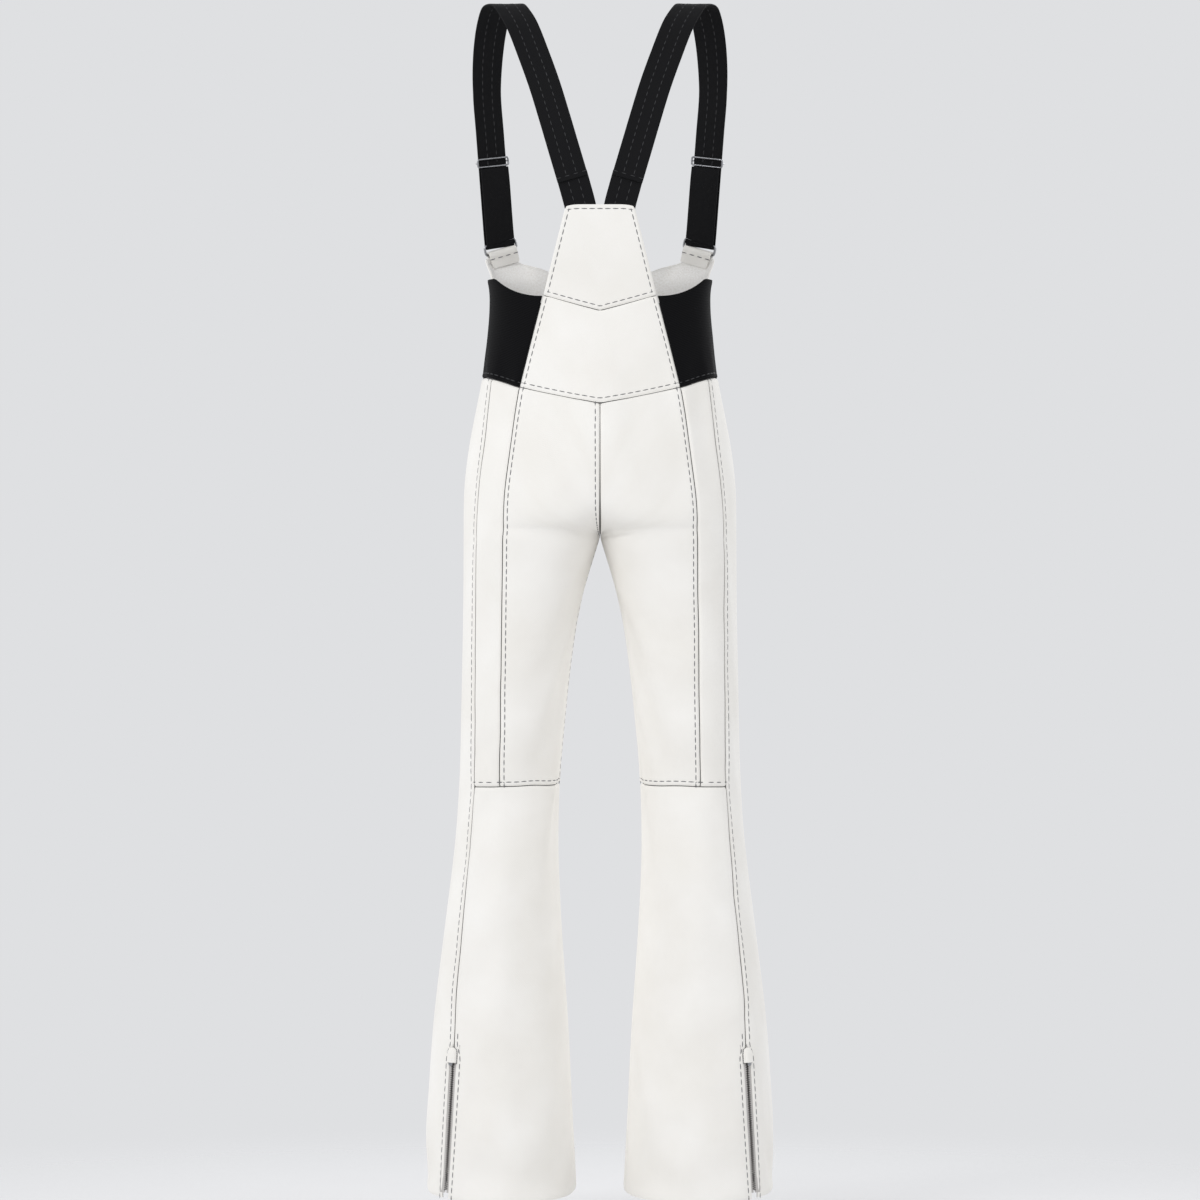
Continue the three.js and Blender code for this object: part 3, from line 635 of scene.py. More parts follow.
def zip_tape():
    material, tree, shader = new_material("woven_zip_tape", 0.8)
    herringbone = weave_height(tree, cloth_coordinates(tree), 1.2)
    paint(tree, shader, herringbone, "#bab7b4", "#d0cdca")
    bump_into(tree, shader, herringbone, 0.15, 0.6)
    return material


def cuff_lining():
    material, tree, shader = new_material("ripstop_lining", 0.6, sheen=0.1)
    grid = node(
        tree, "ShaderNodeTexBrick", {"offset": 0.0}, Vector=cloth_coordinates(tree), Scale=1.0,
        Mortar_Size=0.35 * MM, Brick_Width=5 * MM, Row_Height=5 * MM,
    ).outputs["Fac"]
    paint(tree, shader, grid, "#dcd9d4", "#efede9")
    bump_into(tree, shader, grid, 0.2, 0.6)
    return material


# the tape's mid grey is painted shade: through each seam's gap it stands in for the seam's shadow line
def seam_shade_tape():
    material, tree, shader = new_material("seam_tape_painted_shade", 0.5)
    film = noise(tree, cloth_coordinates(tree), 300.0, 3.0)
    paint(tree, shader, film, "#666564", "#787775")
    bump_into(tree, shader, film, 0.1, 0.5)
    return material


SOFTSHELL, FLEECE, STRETCH = softshell(), fleece(), stretch_weave()
WEBBING, ELASTIC, TAPE = webbing_twill(), elastic_rib(), zip_tape()
LINING, SEAM_SHADE_GREY = cuff_lining(), seam_shade_tape()
cloths = (SOFTSHELL, FLEECE, STRETCH, WEBBING, ELASTIC, TAPE, LINING, SEAM_SHADE_GREY)
print("cloths:", ", ".join(material.name for material in cloths))


# %% Thread, teeth and metal
GLOSS_SPREAD = 0.12


def grained(name, roughness, metallic, dark, light, grain, depth):
    """A material whose colour, gloss and surface vary with one fine noise."""
    material, tree, shader = new_material(name, roughness, metallic)
    place = node(tree, "ShaderNodeTexCoord").outputs["Object"]
    specks = noise(tree, place, grain, 5.0)
    paint(tree, shader, specks, dark, light)
    gloss = node(
        tree, "ShaderNodeMapRange", Value=specks,
        To_Min=roughness - GLOSS_SPREAD, To_Max=roughness + GLOSS_SPREAD,
    ).outputs[0]
    tree.links.new(gloss, shader.inputs["Roughness"])
    bump_into(tree, shader, specks, depth, 0.5)
    return material


# corespun polyester, two plies: the twist catches the light in small steps
THREAD = grained("grey_thread", 0.6, 0.0, "#646466", "#828284", 2500.0, 0.1)
DARK_THREAD = grained("charcoal_thread", 0.6, 0.0, "#262628", "#343437", 2500.0, 0.1)
# moulded acetal teeth, plain and slightly waxy
TEETH = grained("acetal_teeth", 0.45, 0.0, "#575553", "#6b6967", 900.0, 0.03)
# die-cast zinc, tumbled and nickel plated: bright, with a soft, uneven gloss
CAST = grained("nickel_plated_zinc", 0.3, 1.0, "#909194", "#acadb0", 260.0, 0.02)

# %% [markdown]
# ## Stitches
# A row of topstitching is one small bar of thread, repeated along a line on the cloth. Geometry
# Nodes place it: the line is resampled at the stitch pitch, a low-poly dash is put on each point,
# laid along the line and square to the cloth, and the copies are made real. The same tree sets
# zip teeth, with another bar. The real thread is 0.5 mm thick, and it is drawn at 1.4 mm so that
# it shows at the render's scale.

# %% Geometry Nodes: bars along a line
STITCH = {"pitch": 9.2, "long": 7.4, "wide": 1.4, "high": 0.9}


def bar_tree():
    tree = bpy.data.node_groups.new("bars_along_a_line", "GeometryNodeTree")
    face = tree.interface
    face.new_socket("Line", in_out="INPUT", socket_type="NodeSocketGeometry")
    for name in ("Pitch", "Long", "Wide", "High"):
        face.new_socket(name, in_out="INPUT", socket_type="NodeSocketFloat")
    face.new_socket("Finish", in_out="INPUT", socket_type="NodeSocketMaterial")
    face.new_socket("Bars", in_out="OUTPUT", socket_type="NodeSocketGeometry")
    given = node(tree, "NodeGroupInput").outputs
    line = node(tree, "GeometryNodeMeshToCurve", Mesh=given["Line"]).outputs[0]
    spaced = node(tree, "GeometryNodeResampleCurve", Curve=line)
    if "Mode" in spaced.inputs:
        spaced.inputs["Mode"].default_value = "Length"
    else:
        spaced.mode = "LENGTH"
    tree.links.new(given["Pitch"], spaced.inputs["Length"])
    tangent = node(tree, "GeometryNodeInputTangent").outputs[0]
    along = node(
        tree, "FunctionNodeAlignRotationToVector", {"axis": "X"}, Vector=tangent,
    ).outputs[0]
    out = node(
        tree, "GeometryNodeInputNamedAttribute", {"data_type": "FLOAT_VECTOR"}, Name="face_out",
    ).outputs["Attribute"]
    upright = node(
        tree, "FunctionNodeAlignRotationToVector", {"axis": "Z", "pivot_axis": "X"},
        Rotation=along, Vector=out,
    ).outputs[0]
    bead = node(tree, "GeometryNodeMeshUVSphere", Segments=6, Rings=4, Radius=0.5).outputs["Mesh"]
    size = node(
        tree, "ShaderNodeCombineXYZ", X=given["Long"], Y=given["Wide"], Z=given["High"],
    ).outputs[0]
    turned = node(
        tree, "GeometryNodeTransform", Geometry=bead, Rotation=(0, math.pi / 2, 0),
    ).outputs[0]
    bar = node(tree, "GeometryNodeTransform", Geometry=turned, Scale=size).outputs[0]
    placed = node(
        tree, "GeometryNodeInstanceOnPoints", Points=spaced.outputs[0], Instance=bar,
        Rotation=upright,
    ).outputs[0]
    real = node(tree, "GeometryNodeRealizeInstances", Geometry=placed).outputs[0]
    painted = node(
        tree, "GeometryNodeSetMaterial", Geometry=real, Material=given["Finish"],
    ).outputs[0]
    node(tree, "NodeGroupOutput", Bars=painted)
    return tree


BARS = bar_tree()


def bars_along(name, lines, pitch, long, wide, high, finish):
    """A piece of bars along lines. A line is its points and outward directions, in millimetres."""
    points, edges, outs = [], [], []
    for line, out in lines:
        edges += [(len(points) + i, len(points) + i + 1) for i in range(len(line) - 1)]
        points += (np.asarray(line) * MM).tolist()
        outs += np.asarray(out).tolist()
    guide_mesh = bpy.data.meshes.new(name + "_guide")
    guide_mesh.from_pydata(points, edges, [])
    face_out = guide_mesh.attributes.new("face_out", "FLOAT_VECTOR", "POINT")
    face_out.data.foreach_set("vector", np.asarray(outs, np.float32).ravel())
    guide = shown(name + "_guide", guide_mesh)
    modifier = guide.modifiers.new("bars", "NODES")
    modifier.node_group = BARS
    values = {
        "Pitch": pitch * MM, "Long": long * MM, "Wide": wide * MM, "High": high * MM,
        "Finish": finish,
    }
    for item in BARS.interface.items_tree:
        if item.name in values:
            modifier[item.identifier] = values[item.name]
    guide.update_tag()
    graph = bpy.context.evaluated_depsgraph_get()
    made = bpy.data.meshes.new_from_object(guide.evaluated_get(graph), depsgraph=graph)
    bpy.data.objects.remove(guide, do_unlink=True)
    made.name = name
    made.materials.clear()
    made.materials.append(finish)
    for polygon in made.polygons:
        polygon.use_smooth = True
    return shown(name, made)


# %% [markdown]
# ## Panels
# A panel is a patch of the settled cloth between two seams. Its rows and columns crowd together
# near the edges, where the cloth turns down into the seam and dips under the stitching, and
# spread out in the open. The inner face lies one cloth thickness in, and a rim closes the edge.

# %% Panel builder
CLOTH = 1.8  # softshell, millimetres
SEAM_GAP = 1.1
BUTT_GAP = 0.02  # where the two lengths of the side panel meet
STITCH_AT = 4  # the column, counted from an edge, that lies under a stitch row
EDGE_STEPS = np.array([0, 0.7, 1.6, 3.0, 5.0, 7.0, 10.0])
OPEN_STEP = 7.0


class Spacing:
    """Places across a width: fixed distances from both edges, and even shares between them."""

    def __init__(self, width, step=OPEN_STEP):
        count = max(2, int(round((width - 2 * EDGE_STEPS[-1]) / step)))
        self.near = EDGE_STEPS[:-1]
        self.share = np.linspace(0, 1, count + 1)

    def places(self, low, high, low_rate=1.0, high_rate=1.0):
        """Values from low to high; a rate is how many millimetres one unit is at that end."""
        first = low[..., None] + self.near / np.asarray(low_rate)[..., None]
        last = high[..., None] - self.near[::-1] / np.asarray(high_rate)[..., None]
        inner_low = low + EDGE_STEPS[-1] / low_rate
        inner_high = high - EDGE_STEPS[-1] / high_rate
        middle = inner_low[..., None] + (inner_high - inner_low)[..., None] * self.share
        return np.concatenate([first, middle, last], axis=-1)


TURN_DOWN = {
    "joined": 0, "seam": 1.5, "stitched": 1.5, "free": 0.5, "stitched_free": 0.5, "zip": 0.3,
}


def edge_profile(distance, kind):
    """How far the cloth lies below its skin beside an edge of this kind, in millimetres."""
    depth = TURN_DOWN[kind] * np.exp(-((distance / 1.5) ** 2))
    if kind in ("stitched", "stitched_free", "zip"):
        # the layers under the seam lift the cloth, and the stitches pull it down beside them
        depth = depth - 0.45 * np.exp(-(((distance - 2.6) / 1.5) ** 2))
        depth = depth + 0.4 * np.exp(-(((distance - 5) / 1.2) ** 2))
    return depth


def beside_zip(h, span):
    """1 beside a zip, falling to 0 just past its ends."""
    return smooth(np.minimum(h - span[0] + 6, span[1] + 6 - h) / 6)


def arc(points, axis):
    """Length along the cloth from its first row or column, in millimetres."""
    steps = np.linalg.norm(np.diff(points, axis=axis), axis=-1)
    first = np.zeros_like(np.take(steps, [0], axis=axis))
    return np.concatenate([first, np.cumsum(steps, axis=axis)], axis=axis)


def distances(points):
    """From each point to the left, right, foot and head edges of its panel."""
    along, up = arc(points, 1), arc(points, 0)
    return {
        "left": along, "right": along[:, -1:] - along, "foot": up, "head": up[-1:] - up,
    }


def grid_normals(points):
    return unit(np.cross(np.gradient(points, axis=1), np.gradient(points, axis=0)))


def grid_rim(rows, columns):
    """The points round the edge of a grid, in order."""
    return np.concatenate([
        np.arange(columns - 1), np.arange(rows - 1) * columns + columns - 1,
        (rows - 1) * columns + np.arange(columns - 1, 0, -1), np.arange(rows - 1, 0, -1) * columns,
    ])


def rim_faces(loop, count):
    """Faces that join a loop of outer points to the same loop of inner ones, count further on."""
    after = np.roll(loop, -1)
    return np.stack([loop, loop + count, after + count, after], axis=1)


def cloth_piece(name, outer, square, thick, outside, inside, wrap=False, start=0.0):
    """A sheet from a grid of outer points: two faces, a rim and a cloth map.

    wrap joins the last column to the first, for a tube. The cloth map begins at start.
    """
    inner = outer - square * thick
    rows, columns = outer.shape[:2]
    count = rows * columns
    if wrap:
        faces = np.array([
            (i * columns + j, i * columns + (j + 1) % columns,
             (i + 1) * columns + (j + 1) % columns, (i + 1) * columns + j)
            for i in range(rows - 1) for j in range(columns)
        ])
        ring = np.arange(columns)
        loops = [ring, (rows - 1) * columns + ring[::-1]]
    else:
        faces = grid_faces(rows, columns)
        loops = [grid_rim(rows, columns)]
    rims = [rim_faces(loop, count) for loop in loops]
    rim_edges = set()
    for here, _, _, after in np.concatenate(rims).tolist():
        low, high = sorted((here, after))
        rim_edges |= {(low, high), (low + count, high + count)}
    every = np.concatenate([faces, faces[:, ::-1] + count] + rims)
    first = outer[1, 0] - outer[0, 0]
    if np.dot(np.cross(outer[0, 1] - outer[0, 0], first), square[0, 0]) < 0:
        every = every[:, ::-1]
    mesh = mesh_of(name, np.concatenate([outer.reshape(-1, 3), inner.reshape(-1, 3)]) * MM, every)
    mesh.materials.append(outside)
    mesh.materials.append(inside)
    index = np.zeros(len(every), np.int32)
    index[len(faces) : 2 * len(faces)] = 1
    mesh.polygons.foreach_set("material_index", index)
    mesh.polygons.foreach_set("use_smooth", np.ones(len(every), bool))
    along, up = arc(outer, 1), arc(outer, 0)
    place = np.stack([along, up + start], axis=-1).reshape(-1, 2) * MM
    put_places(mesh, np.concatenate([place, place]))
    sharp = mesh.attributes.new("sharp_edge", "BOOLEAN", "EDGE")
    sharp.data.foreach_set("value", [tuple(sorted(e.vertices)) in rim_edges for e in mesh.edges])
    mesh.update()
    piece = shown(name, mesh)
    return piece


def put_places(mesh, places):
    """Writes the cloth map: for each point, metres along the weft and the warp."""
    layer = mesh.uv_layers.new(name="cloth")
    corner = np.zeros(len(mesh.loops), np.int32)
    mesh.loops.foreach_get("vertex_index", corner)
    layer.data.foreach_set("uv", np.asarray(places)[corner].astype(np.float32).ravel())


def panel_piece(name, points, normals, edges, outside, inside, thick=CLOTH):
    """A cloth piece from a grid of points (rows upwards, columns round to the front)."""
    depth = np.zeros(points.shape[:2])
    for edge, distance in distances(points).items():
        kind = edges.get(edge, "seam")
        if isinstance(kind, tuple):  # the span of a zip, with an ordinary seam beyond it
            beside = beside_zip(points[..., 2] + STRAP_CROWN, kind)
            depth += beside * edge_profile(distance, "zip")
            depth += (1 - beside) * edge_profile(distance, "stitched")
        else:
            depth += edge_profile(distance, kind)
    outer = points - normals * depth[..., None]
    square = grid_normals(outer)
    square = square * np.sign((square * normals).sum(-1, keepdims=True))
    start = -arc(outer, 0)[-1].mean() if edges.get("head") == "joined" else 0.0
    return cloth_piece(name, outer, square, thick, outside, inside, start=start), outer, square


def stitch_lines(outer, square, edges, margin=2):
    """Lines under the stitching of each stitched edge of a panel grid."""
    lines = []
    raised = outer + square * 0.15
    picks = {
        "left": np.s_[margin:-margin, STITCH_AT], "right": np.s_[margin:-margin, -1 - STITCH_AT],
        "foot": np.s_[STITCH_AT, margin:-margin], "head": np.s_[-1 - STITCH_AT, margin:-margin],
    }
    for edge in edges:
        lines.append((raised[picks[edge]], square[picks[edge]]))
    return lines


def stitched(name, lines, thread=None):
    return bars_along(
        name, lines, STITCH["pitch"], STITCH["long"], STITCH["wide"], STITCH["high"],
        thread or THREAD,
    )


def seam_gap(h):
    return np.full_like(h, SEAM_GAP / 2)


def patch(side, left, right, foot, head, near, step, left_gap, right_gap, end_gaps):
    """The grid of a panel. foot and head give heights for a t; near is where each is read."""
    def limits(h):
        low, high = SEAMS[left](h), SEAMS[right](h)
        low_rate, high_rate = speed(low + 1e-4, h), speed(high - 1e-4, h)
        return low + left_gap(h) / low_rate, high - right_gap(h) / high_rate, low_rate, high_rate

    middle = np.array([(near[0] + near[1]) / 2])
    low, high, low_rate, high_rate = limits(middle)
    samples = np.linspace(low[0], high[0], 24)
    width = arc(skin(samples, middle[0])[None], 1)[0, -1]
    across = Spacing(width, step)
    up = Spacing(near[1] - near[0], step)
    t_foot, t_head = (
        across.places(*(v for v in limits(np.array([h]))))[0] for h in near
    )
    low_h, high_h = foot(t_foot) + end_gaps[0], head(t_head) - end_gaps[1]
    h = up.places(low_h, high_h).T  # rows, columns
    # each column has its own heights, so it takes its own place from the spacing at those
    t = np.diagonal(across.places(*limits(h)), axis1=1, axis2=2)
    return cloth(t, h, side), outward(t, h) * FLIP[side]


def follow(piece, fold):
    """Lets a piece that crosses no fold ride on the root; a piece across the hip or the knee only has
    its transform baked.
    """
    if fold is None:
        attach(piece, "root")
        return
    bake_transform(piece)


def level(height):
    return lambda t: np.full_like(np.asarray(t, float), height)


# %% [markdown]
# ## Back of the trunk
# The yoke and the waist panel run across the back, with a V seam below each. Both are cut as one
# piece, so their grid runs from one side to the other.

# %% Yoke and waist panel
YOKE_V = {"middle": 1078.5, "rise": 18.3, "half": 69.5}
WAIST_V = {"middle": 966, "rise": 21, "half": 98}
YOKE_HEAD, YOKE_CORNER = 1206.6, 3


def yoke_foot(x):
    return YOKE_V["middle"] + YOKE_V["rise"] * np.minimum(x, YOKE_V["half"]) / YOKE_V["half"]


def waist_foot(x):
    return WAIST_V["middle"] + WAIST_V["rise"] * np.minimum(x, WAIST_V["half"]) / WAIST_V["half"]


def centre_panel(foot, head, near):
    """The grid of a panel across the back. foot and head give heights for a share of its half."""
    across = Spacing(2 * float(yoke_side((near[0] + near[1]) / 2)))
    up = Spacing(near[1] - near[0])
    edge = np.array([float(yoke_side(near[0])) - SEAM_GAP / 2])
    x_foot = across.places(-edge, edge)[0]
    share = x_foot / edge[0]
    h = up.places(foot(share) + SEAM_GAP / 2, head(share) - SEAM_GAP / 2).T
    side_x = yoke_side(h) - SEAM_GAP / 2
    x = np.diagonal(across.places(-side_x, side_x), axis1=1, axis2=2)
    t = t_at(h, np.abs(x), -1)
    points, out = cloth(t, h, "right"), outward(t, h)
    mirror = np.where(x < 0, -1.0, 1.0)
    for grid in (points, out):
        grid[..., 0] = grid[..., 0] * mirror
    points[..., 0] = x
    out[..., 0] = np.where(np.abs(x) < 1, 0, out[..., 0])
    # columns run from the wearer's left to right, so the back faces out the other way round
    return points[:, ::-1], unit(out)[:, ::-1]


def yoke_seam(share):
    return yoke_foot(YOKE_V["half"] * np.abs(share))


yoke_points, yoke_out = centre_panel(
    yoke_seam, lambda share: YOKE_HEAD - YOKE_CORNER * np.abs(share) ** 14, (1078, 1207),
)
yoke, yoke_grid, yoke_square = panel_piece(
    "yoke_cloth", yoke_points, yoke_out,
    {"left": "stitched", "right": "stitched", "foot": "stitched", "head": "stitched_free"},
    SOFTSHELL, FLEECE,
)
waist_points, waist_out = centre_panel(
    lambda share: waist_foot(WAIST_V["half"] * np.abs(share)), yoke_seam, (966, 1080),
)
waist, waist_grid, waist_square = panel_piece(
    "waist_cloth", waist_points, waist_out,
    {"left": "stitched", "right": "stitched", "foot": "stitched", "head": "seam"},
    SOFTSHELL, FLEECE,
)
for piece, cad in ((yoke, "back_yoke"), (waist, "back_waist_panel")):
    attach(piece, "root")
    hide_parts(cad)
yoke_thread = stitched(
    "yoke_topstitch", stitch_lines(yoke_grid, yoke_square, ("left", "right", "foot", "head"), 4),
)
waist_thread = stitched(
    "waist_topstitch", stitch_lines(waist_grid, waist_square, ("left", "right", "foot"), 4),
)
for piece in (yoke_thread, waist_thread):
    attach(piece, "root")
print("yoke and waist:", len(yoke.data.polygons) + len(waist.data.polygons), "faces")

# %% [markdown]
# ## Side panels, bib, hips and legs
# The rest of the garment is cut in pairs. Each entry names the seams a panel lies between, its
# lower and upper edge, which edges are topstitched, and the fold it crosses.

# %% Paired panels
PRINCESS_WAIST = float(SEAMS["princess"](WAIST_SIDE))
SIDE_WAIST = curve([
    [PRINCESS_WAIST, WAIST_SIDE], [-0.4, 996], [-0.2, 1000], [0.1, 999], [0.45, 986], [1, 979],
])


def waist_level(t):
    """The waist seam: a V across the back, then round the side to the front."""
    t = np.asarray(t, float)
    behind = np.full_like(t, 980.0)
    for _ in range(4):
        behind = waist_foot(skin(t, behind)[..., 0])
    return np.where(t < PRINCESS_WAIST, behind, SIDE_WAIST(t))


# from the centre front (0) out to the front seam (1): up to the corner that holds the ring
NECKLINE = curve([
    [0, 1118], [0.25, 1138], [0.49, 1148.5], [0.54, 1157], [0.6, 1158.5], [0.8, 1153], [1, 1147],
])
ZIP_HALF = 5.2  # from the middle of a zip to the edge of the cloth beside it
HEM_SLOT = (-40, 178)  # the cloth closes under the garage
FRONT_SLOT = (FRONT_ZIP[0], 1300)  # open to the neckline
HEM_RISE = 15


def zip_gap(span):
    """The gap beside a seam that opens to hold a zip between two heights."""
    return lambda h: SEAM_GAP / 2 + (ZIP_HALF - SEAM_GAP / 2) * beside_zip(h, span)


def hem_foot(t):
    return HEM_RISE * np.abs(2 * np.abs(np.asarray(t) + 0.02) - 1) ** 2.5


def share_of(left, right, near):
    low, high = float(SEAMS[left](near)), float(SEAMS[right](near))
    return lambda t: np.clip((np.asarray(t) - low) / (high - low), 0, 1)


def stretch_head(t):
    share = share_of("princess", "front", 1100)(t)
    return 1097 + 22 * np.minimum(share / 0.52, 1) ** 1.6


def bib_head(t):
    return NECKLINE(1 - share_of("front", "centre_front", 1118)(t))


# near is about where a panel's lower and upper edges lie; replaces names its CAD nodes
PANELS = [
    dict(
        name="stretch_side", seams=("princess", "front"), foot=waist_level, head=stretch_head,
        near=(990, 1106), edges={"head": "free", "foot": "stitched"}, stitches=("foot",),
        outside=STRETCH, inside=STRETCH, thread=DARK_THREAD,
        replaces=["side_stretch_panel"], fold=None, slot="stretch_fabric",
    ),
    dict(
        name="bib_front", seams=("front", "centre_front"), foot=waist_level, head=bib_head,
        near=(980, 1125), right_gap=zip_gap(FRONT_SLOT), step=4.0,
        edges={"left": "seam", "right": FRONT_SLOT, "head": "free", "foot": "stitched"},
        stitches=("right", "foot"), replaces=["front_bib"], fold=None,
    ),
    dict(
        name="seat_cloth", seams=("centre_back", "princess"), foot=level(KNEE_SEAM),
        head=waist_level, near=(KNEE_SEAM, 975), step=5.5,
        edges={"right": "stitched", "foot": "stitched"}, left_only={"left": "stitched"},
        stitches=("right", "foot"), replaces=["seat", "back_thigh", "hip_fold"], fold="hip",
    ),
    dict(
        name="back_strip", seams=("princess", "back"), foot=level(KNEE_SEAM),
        head=waist_level, near=(KNEE_SEAM, 990), edges={"foot": "stitched"},
        stitches=("foot",), replaces=["back_strip_hip", "back_strip_thigh"], fold="hip",
    ),
    dict(
        name="side_upper", seams=("back", "front"), foot=level(SIDE_SPLIT), head=waist_level,
        near=(SIDE_SPLIT, 993), right_gap=zip_gap(POCKET_ZIP),
        edges={"left": "stitched", "right": POCKET_ZIP, "foot": "joined"},
        stitches=("left",), replaces=["side_hip", "side_thigh"], fold="hip",
    ),
    dict(
        name="front_upper", seams=("front", "centre_front"), foot=level(KNEE_SEAM),
        head=waist_level, near=(KNEE_SEAM, 980), left_gap=zip_gap(POCKET_ZIP),
        right_gap=zip_gap(FRONT_SLOT),
        edges={"left": POCKET_ZIP, "right": FRONT_SLOT, "foot": "stitched"},
        stitches=("left", "right", "foot"), replaces=["front_hip", "front_thigh"], fold="hip",
    ),
    dict(
        name="back_lower", seams=("centre_back", "back"), foot=hem_foot, head=level(KNEE_SEAM),
        near=(HEM_RISE, KNEE_SEAM), right_gap=zip_gap(HEM_SLOT),
        edges={"right": HEM_SLOT, "foot": "free"}, stitches=(),
        replaces=["back_shin", "knee_fold"], fold="knee",
    ),
    dict(
        name="side_lower", seams=("back", "front"), foot=hem_foot, head=level(SIDE_SPLIT),
        near=(HEM_RISE, SIDE_SPLIT), left_gap=zip_gap(HEM_SLOT),
        edges={"left": HEM_SLOT, "head": "joined", "foot": "free"}, stitches=("left",),
        replaces=["side_shin"], fold="knee",
    ),
    dict(
        name="front_lower", seams=("front", "centre_front"), foot=hem_foot,
        head=level(KNEE_SEAM), near=(HEM_RISE, KNEE_SEAM),
        edges={"left": "stitched", "foot": "free"}, stitches=("left",),
        replaces=["front_shin"], fold="knee",
    ),
]


def make_panel(plan, side):
    end_gaps = [
        BUTT_GAP if plan["edges"].get(end) == "joined" else SEAM_GAP / 2 for end in ("foot", "head")
    ]
    points, out = patch(
        side, *plan["seams"], plan["foot"], plan["head"], plan["near"],
        plan.get("step", OPEN_STEP), plan.get("left_gap", seam_gap),
        plan.get("right_gap", seam_gap), end_gaps,
    )
    left_only = plan.get("left_only", {}) if side == "left" else {}
    edges = {**plan["edges"], **left_only}
    rows = [*plan["stitches"], *left_only]
    piece, outer, square = panel_piece(
        f"{plan['name']}_{side}", points, out, edges, plan.get("outside", SOFTSHELL),
        plan.get("inside", FLEECE),
    )
    lines = stitch_lines(outer, square, rows)
    if plan["name"] == "back_lower":  # stitched beside its zip only
        beside = outer[2:, -1 - STITCH_AT] + square[2:, -1 - STITCH_AT] * 0.15
        in_zip = (beside[:, 2] + STRAP_CROWN) < HEM_ZIP[1] + 12
        lines.append((beside[in_zip], square[2:, -1 - STITCH_AT][in_zip]))
    follow(piece, plan["fold"])
    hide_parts(*[f"{cad}_{side}" for cad in plan["replaces"]])
    if lines:
        thread = stitched(f"{plan['name']}_topstitch_{side}", lines, plan.get("thread"))
        follow(thread, plan["fold"])
    return piece


for plan in PANELS:
    for side in SIDES:
        made = make_panel(plan, side)
    print(plan["name"], len(made.data.polygons), "faces each")

# %% [markdown]
# ## Swept parts
# Straps, rings and adjusters are an outline carried along a path. A part is drafted for the
# right side and mirrored for the left, and each closed shape is turned to face outwards.

# %% Sweeps and solids
def run(path):
    """How far each point of a path lies along it."""
    return arc(np.asarray(path, float), 0)


def smooth_path(points, step=None, count=None):
    """Points a step apart, or a count of them, on a smooth curve through the points given."""
    points, chord = np.asarray(points, float), run(points)
    along = np.linspace(0, chord[-1], count or int(chord[-1] / step) + 1)
    axes = [curve(np.stack([chord, points[:, k]], axis=1))(along) for k in range(3)]
    return np.stack(axes, axis=-1)


def sweep(path, across, out, outline, closed=False):
    """Points, faces and cloth places of a closed outline carried along a path."""
    across, out = (np.broadcast_to(v, path.shape)[:, None] for v in (across, out))
    points = path[:, None] + across * outline[None, :, :1] + out * outline[None, :, 1:]
    rows, sides = points.shape[:2]
    faces = []
    for i in range(rows if closed else rows - 1):
        for j in range(sides):
            k, nxt = (j + 1) % sides, (i + 1) % rows
            faces.append([i * sides + j, i * sides + k, nxt * sides + k, nxt * sides + j])
    if not closed:
        faces.append(list(range(sides - 1, -1, -1)))
        faces.append([(rows - 1) * sides + j for j in range(sides)])
    places = np.stack(np.broadcast_arrays(outline[None, :, 0], run(path)[:, None]), axis=-1)
    return points.reshape(-1, 3), faces, places.reshape(-1, 2) * MM


def ellipse(wide, high, sides=12):
    angle = np.linspace(0, 2 * np.pi, sides, endpoint=False)
    return np.stack([np.cos(angle) * wide / 2, np.sin(angle) * high / 2], axis=-1)


def tangents(path, closed=False):
    if closed:
        return unit(np.roll(path, -1, axis=0) - np.roll(path, 1, axis=0))
    return unit(np.gradient(path, axis=0))


def rod(path, normal, wide, high=None, closed=False):
    """A rounded bar along a path that lies square to the normal."""
    beside = unit(np.cross(normal, tangents(path, closed)))
    return sweep(path, beside, np.asarray(normal, float), ellipse(wide, high or wide), closed)


def rounded_rectangle(width, height, radius, steps=5):
    """A closed outline about the origin."""
    outline = []
    for quarter, (cx, cy) in enumerate([(1, 1), (-1, 1), (-1, -1), (1, -1)]):
        for k in range(steps + 1):
            angle = (quarter + k / steps) * math.pi / 2
            outline.append([
                cx * (width / 2 - radius) + radius * math.cos(angle),
                cy * (height / 2 - radius) + radius * math.sin(angle),
            ])
    return np.array(outline)


def plate(outline, low, high, soften=0.35):
    """A flat casting with softened edges: local points (across, up, out) and faces."""
    outline = np.asarray(outline, float)
    centre = outline.mean(axis=0)
    end = 1 - soften / np.abs(outline - centre).max()
    layers = [(low, end), (low + soften, 1), (high - soften, 1), (high, end)]
    points = [[*(centre + (p - centre) * scale), z] for z, scale in layers for p in outline]
    sides = len(outline)
    faces = [
        [i * sides + j, i * sides + (j + 1) % sides, (i + 1) * sides + (j + 1) % sides,
         (i + 1) * sides + j]
        for i in range(len(layers) - 1) for j in range(sides)
    ]
    faces.append(list(range(sides - 1, -1, -1)))
    faces.append([(len(layers) - 1) * sides + j for j in range(sides)])
    return np.array(points), faces


